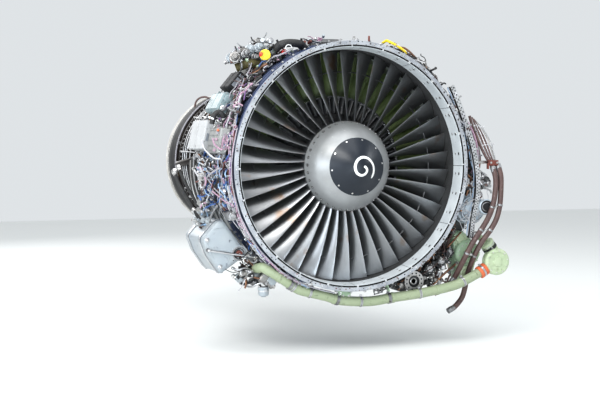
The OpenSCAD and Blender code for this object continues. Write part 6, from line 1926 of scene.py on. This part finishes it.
# ------------------------------------------------------------------ gearboxes and fuel control
def gearbox():
    g = Part("gearbox_dressing", ["gear_dark", "steel", "bolt", "tank", "dark", "dull_steel", "green_pale", "gear_dark", "ring_steel"])
    G = [(.4781, -.7802), (.6201, -.7065), (.7446, -.6060), (.8470, -.4830), (.9235, -.3425)]
    # bolted covers over the gear centres, front and back
    for i, (x, z) in enumerate(G):
        if i not in (1,):
            g.lathe([(.052, .3205), (.056, .318), (.056, .312), (.051, .309), (.030, .308), (.028, .302), (.014, .300), (0, .300)], (x, 0, z), (0, 1, 0), 36, 0 if i % 2 else 3)
            for k in range(8):
                a = math.pi * k / 4 + .3
                g.bolt((x + .050 * math.cos(a), .3115, z + .050 * math.sin(a)), (0, -1, 0), .0038, .005, 2)
        g.lathe([(.066, .4115), (.070, .414), (.070, .420), (.064, .424), (.040, .426), (.038, .436), (.020, .440), (0, .440)] if i in (0, 1, 3, 4) else
                [(.066, .4115), (.070, .414), (.070, .418), (.064, .419)], (x, 0, z), (0, 1, 0), 40, 0)
        for k in range(10):
            a = math.pi * k / 5
            g.bolt((x + .064 * math.cos(a), .4205, z + .064 * math.sin(a)), (0, 1, 0), .0042, .005, 2)
    # split-line bolts round the casing
    for i in range(4):
        (x0, z0), (x1, z1) = G[i], G[i + 1]
        d = unit((x1 - x0, z1 - z0))
        nrm = np.array((d[1], -d[0]))
        for s in (-1, 1):
            for f in (.1, .35, .6, .85):
                x, z = x0 + (x1 - x0) * f, z0 + (z1 - z0) * f
                q = np.array((x, .366, z)) + np.array((nrm[0], 0, nrm[1])) * s * .094
                g.box(tuple(q), (.020, .060, .020), 0, .004, ((0, 1, 0), -math.degrees(math.atan2(d[1], d[0]))))
                g.bolt(q + np.array((0, -.030, 0)), (0, -1, 0), .0048, .006, 2)
                g.bolt(q + np.array((0, .030, 0)), (0, 1, 0), .0048, .006, 2)
    # fuel control: covers, fittings, adjusters
    g.box((.7676, .468, -.606), (.130, .010, .104), 7, .003)
    for x, z in ((.72, -.57), (.815, -.57), (.72, -.645), (.815, -.645)):
        g.bolt((x, .462, z), (0, -1, 0), .004, .005, 2)
    for x, y, z, ax in ((.730, .50, -.5455, (0, 0, 1)), (.775, .56, -.5455, (0, 0, 1)), (.73, .61, -.5455, (0, 0, 1)), (.6920, .52, -.60, (-1, 0, 0)), (.6920, .59, -.62, (-1, 0, 0)),
                        (.76, .6405, -.60, (0, 1, 0)), (.80, .6405, -.63, (0, 1, 0)), (.76, .52, -.6665, (0, 0, -1)), (.80, .60, -.6665, (0, 0, -1))):
        o = np.array((x, y, z))
        g.lathe([(.020, -.001), (.021, .003), (.016, .006), (.014, .020), (.0165, .021), (.0165, .034), (.009, .036), (.009, .046), (0, .046)], o, ax, 16, (1, 5, 3)[int(1000 * x) % 3])
    for k in range(5):
        g.box((.7676, .50 + .028 * k, -.5445), (.14, .005, .006), 7, .001)
    pipe(g, [(.6490, .52, -.60), (.60, .52, -.62), (.56, .50, -.68), (.50, .47, -.74), (.480, .445, -.775)], .011, 1, 2)
    pipe(g, [(.6490, .59, -.62), (.61, .62, -.60), (.58, .70, -.55), (.60, .78, -.50), (.64, .82, -.46)], .011, 5, 2)
    pipe(g, [(.76, .686, -.60), (.77, .74, -.58), (.74, .80, -.50), (.72, .83, -.44)], .009, 1, 2)
    # hand-turning pad at the front of the gearbox: long neck, bright ring with holes, a bore; holes and bore are dark
    # discs, painted shade
    x, z = .4781, -.7802
    g.lathe([(.052, .294), (.050, .280), (.047, .270), (.047, .150), (.054, .142), (.066, .138), (.072, .136), (.072, .120), (.070, .1165), (.040, .1165), (.039, .118), (.039, .134), (.024, .136), (.022, .150)],
            (x, 0, z), (0, 1, 0), 56, 8, c0=False, c1=False)
    g.lathe([(.0385, .1345), (.0385, .1345), (0, .1345)], (x, 0, z), (0, 1, 0), 40, 4)
    g.lathe([(.024, .1340), (.024, .124), (.020, .122), (.016, .124), (.016, .132)], (x, 0, z), (0, 1, 0), 32, 8, c0=False, c1=False)
    for k in range(12):
        a = 2 * math.pi * k / 12 + .26
        q = (x + .0560 * math.cos(a), .1163, z + .0560 * math.sin(a))
        g.lathe([(.0060, 0), (.0060, .0002), (0, .0002)], q, (0, -1, 0), 14, 4)
        g.ring([(.0060, -.0010), (.0076, -.0010), (.0076, .0002), (.0060, .0002)], 14, 1, o=q, axis=(0, 1, 0))
    for k in range(10):
        a = 2 * math.pi * k / 10
        g.bolt((x + .049 * math.cos(a), .280, z + .049 * math.sin(a)), (0, -1, 0), .0040, .005, 2)
    # transfer gearbox dressings
    g.at(148.5, .965, .786)
    g.lathe([(.046, -.001), (.050, .003), (.050, .008), (.042, .012), (.020, .014), (0, .014)], (0, 0, 0), (0, 0, 1), 32, 0)
    for k in range(8):
        a = math.pi * k / 4
        g.bolt((.043 * math.cos(a), .043 * math.sin(a), .009), (0, 0, 1), .004, .005, 2)
    g.at(148.5, .915, .412)
    for y in (.005, .32):
        g.lathe([(.028, y - .001), (.036, y), (.036, y + .010), (.028, y + .012)], (0, 0, 0), (0, 1, 0), 26, 1)
    g.frame()
    g.done("engine", slot="light_alloy")


gearbox()


# ------------------------------------------------------------------ fan case and frame dressings
def fan_case():
    p = Part("fan_case_dressing", ["slate", "bolt", "steel", "frame_alu", "dull_steel", "liner"])
    # bolts and nuts on the aft flanges, ribs on the slate case
    for i in range(72):
        c = 5 * i + 2.5
        p.bolt(cp(c, .8135, .4195), (0, -1, 0), .0058, .007, 1)
        p.bolt(cp(c, .8120, .8505), (0, 1, 0), .0058, .007, 1)
    for y in (.345, .392):
        p.ring([(.7925, y - .004), (.8005, y - .003), (.8005, y + .003), (.7925, y + .004)], 180, 0)
    for y in (.085, .150, .215, .280):
        p.ring([(.8055, y - .003), (.8085, y - .0025), (.8085, y + .0025), (.8055, y + .003)], 180, 0)
    p.ring([(.7925, .0115), (.8055, .0125), (.8065, .016), (.8065, .024), (.7925, .034)], 180, 0)
    for i in range(36):
        p.at(10 * i + 5, .8058, .305)
        p.box((0, 0, .003), (.030, .018, .008), 0, .002)
        p.bolt((0, 0, .007), (0, 0, 1), .0042, .004, 1)
    # box ribs, bosses and drain fittings on the frame's outside
    for i in range(24):
        c = 15 * i + 7.5
        p.at(c, .799, .500)
        if i % 2:
            p.box((0, .030, .004), (.120, .006, .014), 3, .002)
            p.box((0, .200, .004), (.120, .006, .014), 3, .002)
            p.box((-.060, .115, .004), (.006, .176, .014), 3, .002)
            p.box((.060, .115, .004), (.006, .176, .014), 3, .002)
        else:
            p.lathe([(.026, 0), (.026, .008), (.018, .011), (.018, .016), (.010, .018), (0, .018)], (0, .10, 0), (0, 0, 1), 20, 3)
            for k in range(4):
                a = math.pi * k / 2 + .78
                p.bolt((.021 * math.cos(a), .10 + .021 * math.sin(a), .008), (0, 0, 1), .003, .003, 1, False)
    p.frame()
    for y in (.470, .640, .720):
        p.ring([(.7995, y - .004), (.8075, y - .003), (.8075, y + .003), (.7995, y + .004)], 180, 3)
    # trunnion pads
    for c in (90, 270):
        p.at(c, .845, .780)
        p.ring([(.027, -.001), (.034, -.001), (.034, .004), (.027, .003)], 32, 2, axis=(0, 0, 1))
        p.at(c, .790, .780)
        for k in range(8):
            a = math.pi * k / 4
            p.box((.060 * math.cos(a), .060 * math.sin(a), .018), (.026, .006, .026), 3, .002, ((0, 0, 1), math.degrees(a)))
    # struts get bolted root plates
    for i in range(12):
        p.at(28.5 + 30 * i, .801, .790)
        p.box((0, 0, .003), (.062, .092, .008), 3, .003)
        for x in (-.022, .022):
            for y in (-.034, 0, .034):
                p.bolt((x, y, .007), (0, 0, 1), .0048, .005, 1)
    p.frame()
    p.done("engine", slot="slate_case")
    # forward mount: bolts and ribs
    m = Part("mount_dressing", ["dull_steel", "bolt", "steel"])
    for x in (-.105, -.035, .035, .105):
        m.box((x, .68, .842), (.008, .19, .040), 0, .002)
    for x in (-.07, .07):
        for y in (.612, .748):
            m.bolt((x, y, .8705), (0, 0, 1), .0001, .0001, 1, False)
    m.frame()
    m.done("engine", slot="bare_steel")


fan_case()


# ------------------------------------------------------------------ core dressings
def core():
    p = Part("core_dressing", ["steel", "bolt", "titan", "hot_blue", "dull_steel", "hot", "copper", "silverbraid", "rubber", "whitebraid", "lightblue"])
    # variable vane spindles with levers to the ring, three stages
    for st, (y, n, rr) in enumerate(((.936, 36, .268), (1.020, 40, .266), (1.100, 44, .264))):
        for i in range(n):
            c = 360.0 * i / n + (10 if st == 0 else 3 * st)
            p.at(c, rr, y)
            p.lathe([(.0085, -.004), (.0085, .010), (.0060, .012), (.0060, .020), (0, .020)], (0, 0, 0), (0, 0, 1), 10, 2)
            p.box((.005, .018, .022), (.006, .042, .003), 0, .0008, ((0, 0, 1), -14))
            p.bolt((.0, .0, .020), (0, 0, 1), .004, .004, 1, False)
            p.bolt((.010, .036, .0235), (0, 0, 1), .0032, .003, 1, False)
        if st:
            p.frame()
            p.ring([(.2835, y + .030), (.2915, y + .030), (.2915, y + .042), (.2835, y + .042)], 120, 0)
    p.frame()
    # case flanges with bolts
    for y, r, n in ((.890, .266, 60), (1.190, .262, 60), (1.335, .262, 60), (1.905, .366, 72)):
        if y < 1.9:
            p.ring([(.250, y - .008), (r + .014, y - .007), (r + .014, y + .007), (.250, y + .008)], 144, 2)
        for i in range(n):
            c = 360.0 * i / n
            rr = r + .007 if y < 1.9 else .3655
            yy = y - .0075 if y < 1.9 else 1.9015
            p.bolt(cp(c, rr, yy), (0, -1, 0), .0042, .005, 1)
    # bleed pipes and ducts along the core
    for c0, c1, r, m, path in ((40, 62, .030, 0, [(.20, 1.12), (.33, 1.14), (.41, 1.24), (.425, 1.45), (.42, 1.70), (.46, 1.95), (.50, 2.10)]),
                               (318, 300, .026, 5, [(.20, 1.16), (.33, 1.17), (.40, 1.25), (.415, 1.44), (.42, 1.68), (.47, 1.94), (.52, 2.12)]),
                               (150, 162, .024, 0, [(.20, 1.12), (.33, 1.14), (.40, 1.20), (.41, 1.38), (.42, 1.60), (.43, 1.80), (.42, 1.95)]),
                               (205, 198, .020, 3, [(.22, 1.24), (.34, 1.25), (.40, 1.34), (.41, 1.50), (.42, 1.66), (.44, 1.86), (.50, 2.02)])):
        K = len(path)
        q = [cp(c0 + (c1 - c0) * k / (K - 1), max(R, .262), y) for k, (R, y) in enumerate(path)]
        p.tube(q, r, m, 18, 7)
        for k in (2, 4):
            a, b = np.array(q[k]), np.array(q[k + 1])
            p.clamp(a, b - a, r + .001, 0, .014, .003)
    # fuel nozzle pigtails, with nuts
    for i in range(20):
        c = 18.0 * i
        q = C((c, .372, 1.500), (c + .5, .388, 1.500), (c + 1.6, .396, 1.480), (c + 3.2, .392, 1.462), (c + 4.2, .384, 1.470), (c + 4.6, .380, 1.492))
        p.frame()
        p.tube(q, .0042, 0, 7, 4)
        p.at(c, .344, 1.500)
        p.box((0, 0, .004), (.046, .052, .008), 4, .002)
        for sx in (-1, 1):
            for sy in (-1, 1):
                p.bolt((sx * .017, sy * .019, .008), (0, 0, 1), .0040, .005, 1)
    p.frame()
    # second manifold, igniter leads, thermocouple harness
    p.ring([(.402 + .006 * math.cos(t), 1.545 + .006 * math.sin(t)) for t in [math.pi * k / 4 for k in range(8)]], 120, 0)
    for i in range(10):
        c = 36 * i + 12
        p.at(c, .345, 1.545)
        p.box((0, 0, .028), (.010, .012, .058), 0, .001)
        p.box((0, 0, .002), (.030, .026, .006), 4, .001)
    p.frame()
    for c in (115, 245):
        p.at(c, .345, 1.58)
        p.lathe([(.020, 0), (.020, .010), (.013, .012), (.013, .040), (.016, .042), (.016, .052), (.010, .054), (0, .056)], (0, 0, 0), (0, 0, 1), 18, 0)
        p.frame()
        p.tube(C((c, .398, 1.58), (c, .43, 1.56), (c - 2, .44, 1.48), (c - 4, .42, 1.34), (c - 6, .36, 1.20), (c - 8, .31, 1.02), (c - 8, .30, .90)), .009, 7, 10, 6)
    for i in range(8):
        c = 45 * i + 22
        p.at(c, .380, 1.700)
        p.lathe([(.022, -.036), (.022, -.022), (.015, -.020), (.015, -.006), (.010, -.004), (0, -.004)], (0, 0, 0), (0, 0, 1), 16, 4)
    p.frame()
    # shallow bands and weld lines on the combustion case
    for y in (1.385, 1.62, 1.76, 1.85):
        p.ring([(.3445, y - .006), (.3475, y - .005), (.3475, y + .005), (.3445, y + .006)], 144, 3)
    # turbine case: flange bolts, tube brackets, feed pipes
    for i in range(96):
        p.bolt(cp(3.75 * i, .5640, 2.4015), (0, -1, 0), .0052, .006, 1)
        if i % 2 == 0:
            p.bolt(cp(3.75 * i, .5640, 2.5625), (0, 1, 0), .0052, .006, 1)
    for i in range(12):
        c = 30 * i + 8
        pts = [(2.080, .486), (2.140, .512), (2.200, .538), (2.260, .560), (2.320, .566), (2.380, .570)]
        for (y0, r0), (y1, r1) in zip(pts, pts[1:]):
            a, b = np.array(cp(c, r0 + .012, y0)), np.array(cp(c, r1 + .012, y1))
            p.tube([a, b], .0045, 0, 6, 2)
    q = C((88, .600, 2.36), (88, .604, 2.30), (87, .596, 2.22), (86, .576, 2.14), (84, .545, 2.06), (80, .500, 1.96), (74, .440, 1.84), (68, .410, 1.70), (64, .400, 1.54))
    p.tube(q, .024, 0, 16, 6)
    q = C((268, .600, 2.36), (268, .604, 2.30), (269, .596, 2.22), (270, .576, 2.14), (272, .545, 2.06), (276, .500, 1.96), (282, .440, 1.84), (288, .410, 1.70), (292, .400, 1.54))
    p.tube(q, .024, 5, 16, 6)
    # thermocouple ring behind the turbine
    p.ring([(.590 + .007 * math.cos(t), 2.480 + .007 * math.sin(t)) for t in [math.pi * k / 4 for k in range(8)]], 144, 9)
    for i in range(9):
        c = 40 * i + 5
        p.at(c, .552, 2.480)
        p.box((0, 0, .003), (.040, .034, .008), 4, .002)
        p.lathe([(.010, 0), (.010, .026), (.014, .028), (.014, .040), (0, .042)], (0, 0, 0), (0, 0, 1), 12, 0)
        for s in (-1, 1):
            p.bolt((s * .014, 0, .007), (0, 0, 1), .0036, .004, 1)
    p.frame()
    for y in (2.445, 2.520):
        p.ring([(.5515, y - .004), (.5570, y - .003), (.5570, y + .003), (.5515, y + .004)], 144, 5)
    for i in range(24):
        c = 15 * i + 3
        p.at(c, .5545, 2.482)
        p.box((0, .0, .0), (.005, .070, .008), 5, .001)
    p.frame()
    p.done("engine", slot="hot_metal")
    # pale nozzle: bands and rivets
    n = Part("nozzle_dressing", ["nozzle", "bolt", "dull_steel"])
    for y, r in ((2.600, .5645), (2.700, .571), (2.790, .577)):
        n.ring([(r - .004, y - .012), (r + .002, y - .011), (r + .002, y + .011), (r - .004, y + .012)], 180, 0)
        for i in range(90):
            n.lathe([(.0034, 0), (.0028, .0012), (0, .0014)], cp(4 * i, r + .002, y - .006), np.array(cp(4 * i, 1, 0)), 8, 1)
    n.done("engine", slot="hot_metal")


core()
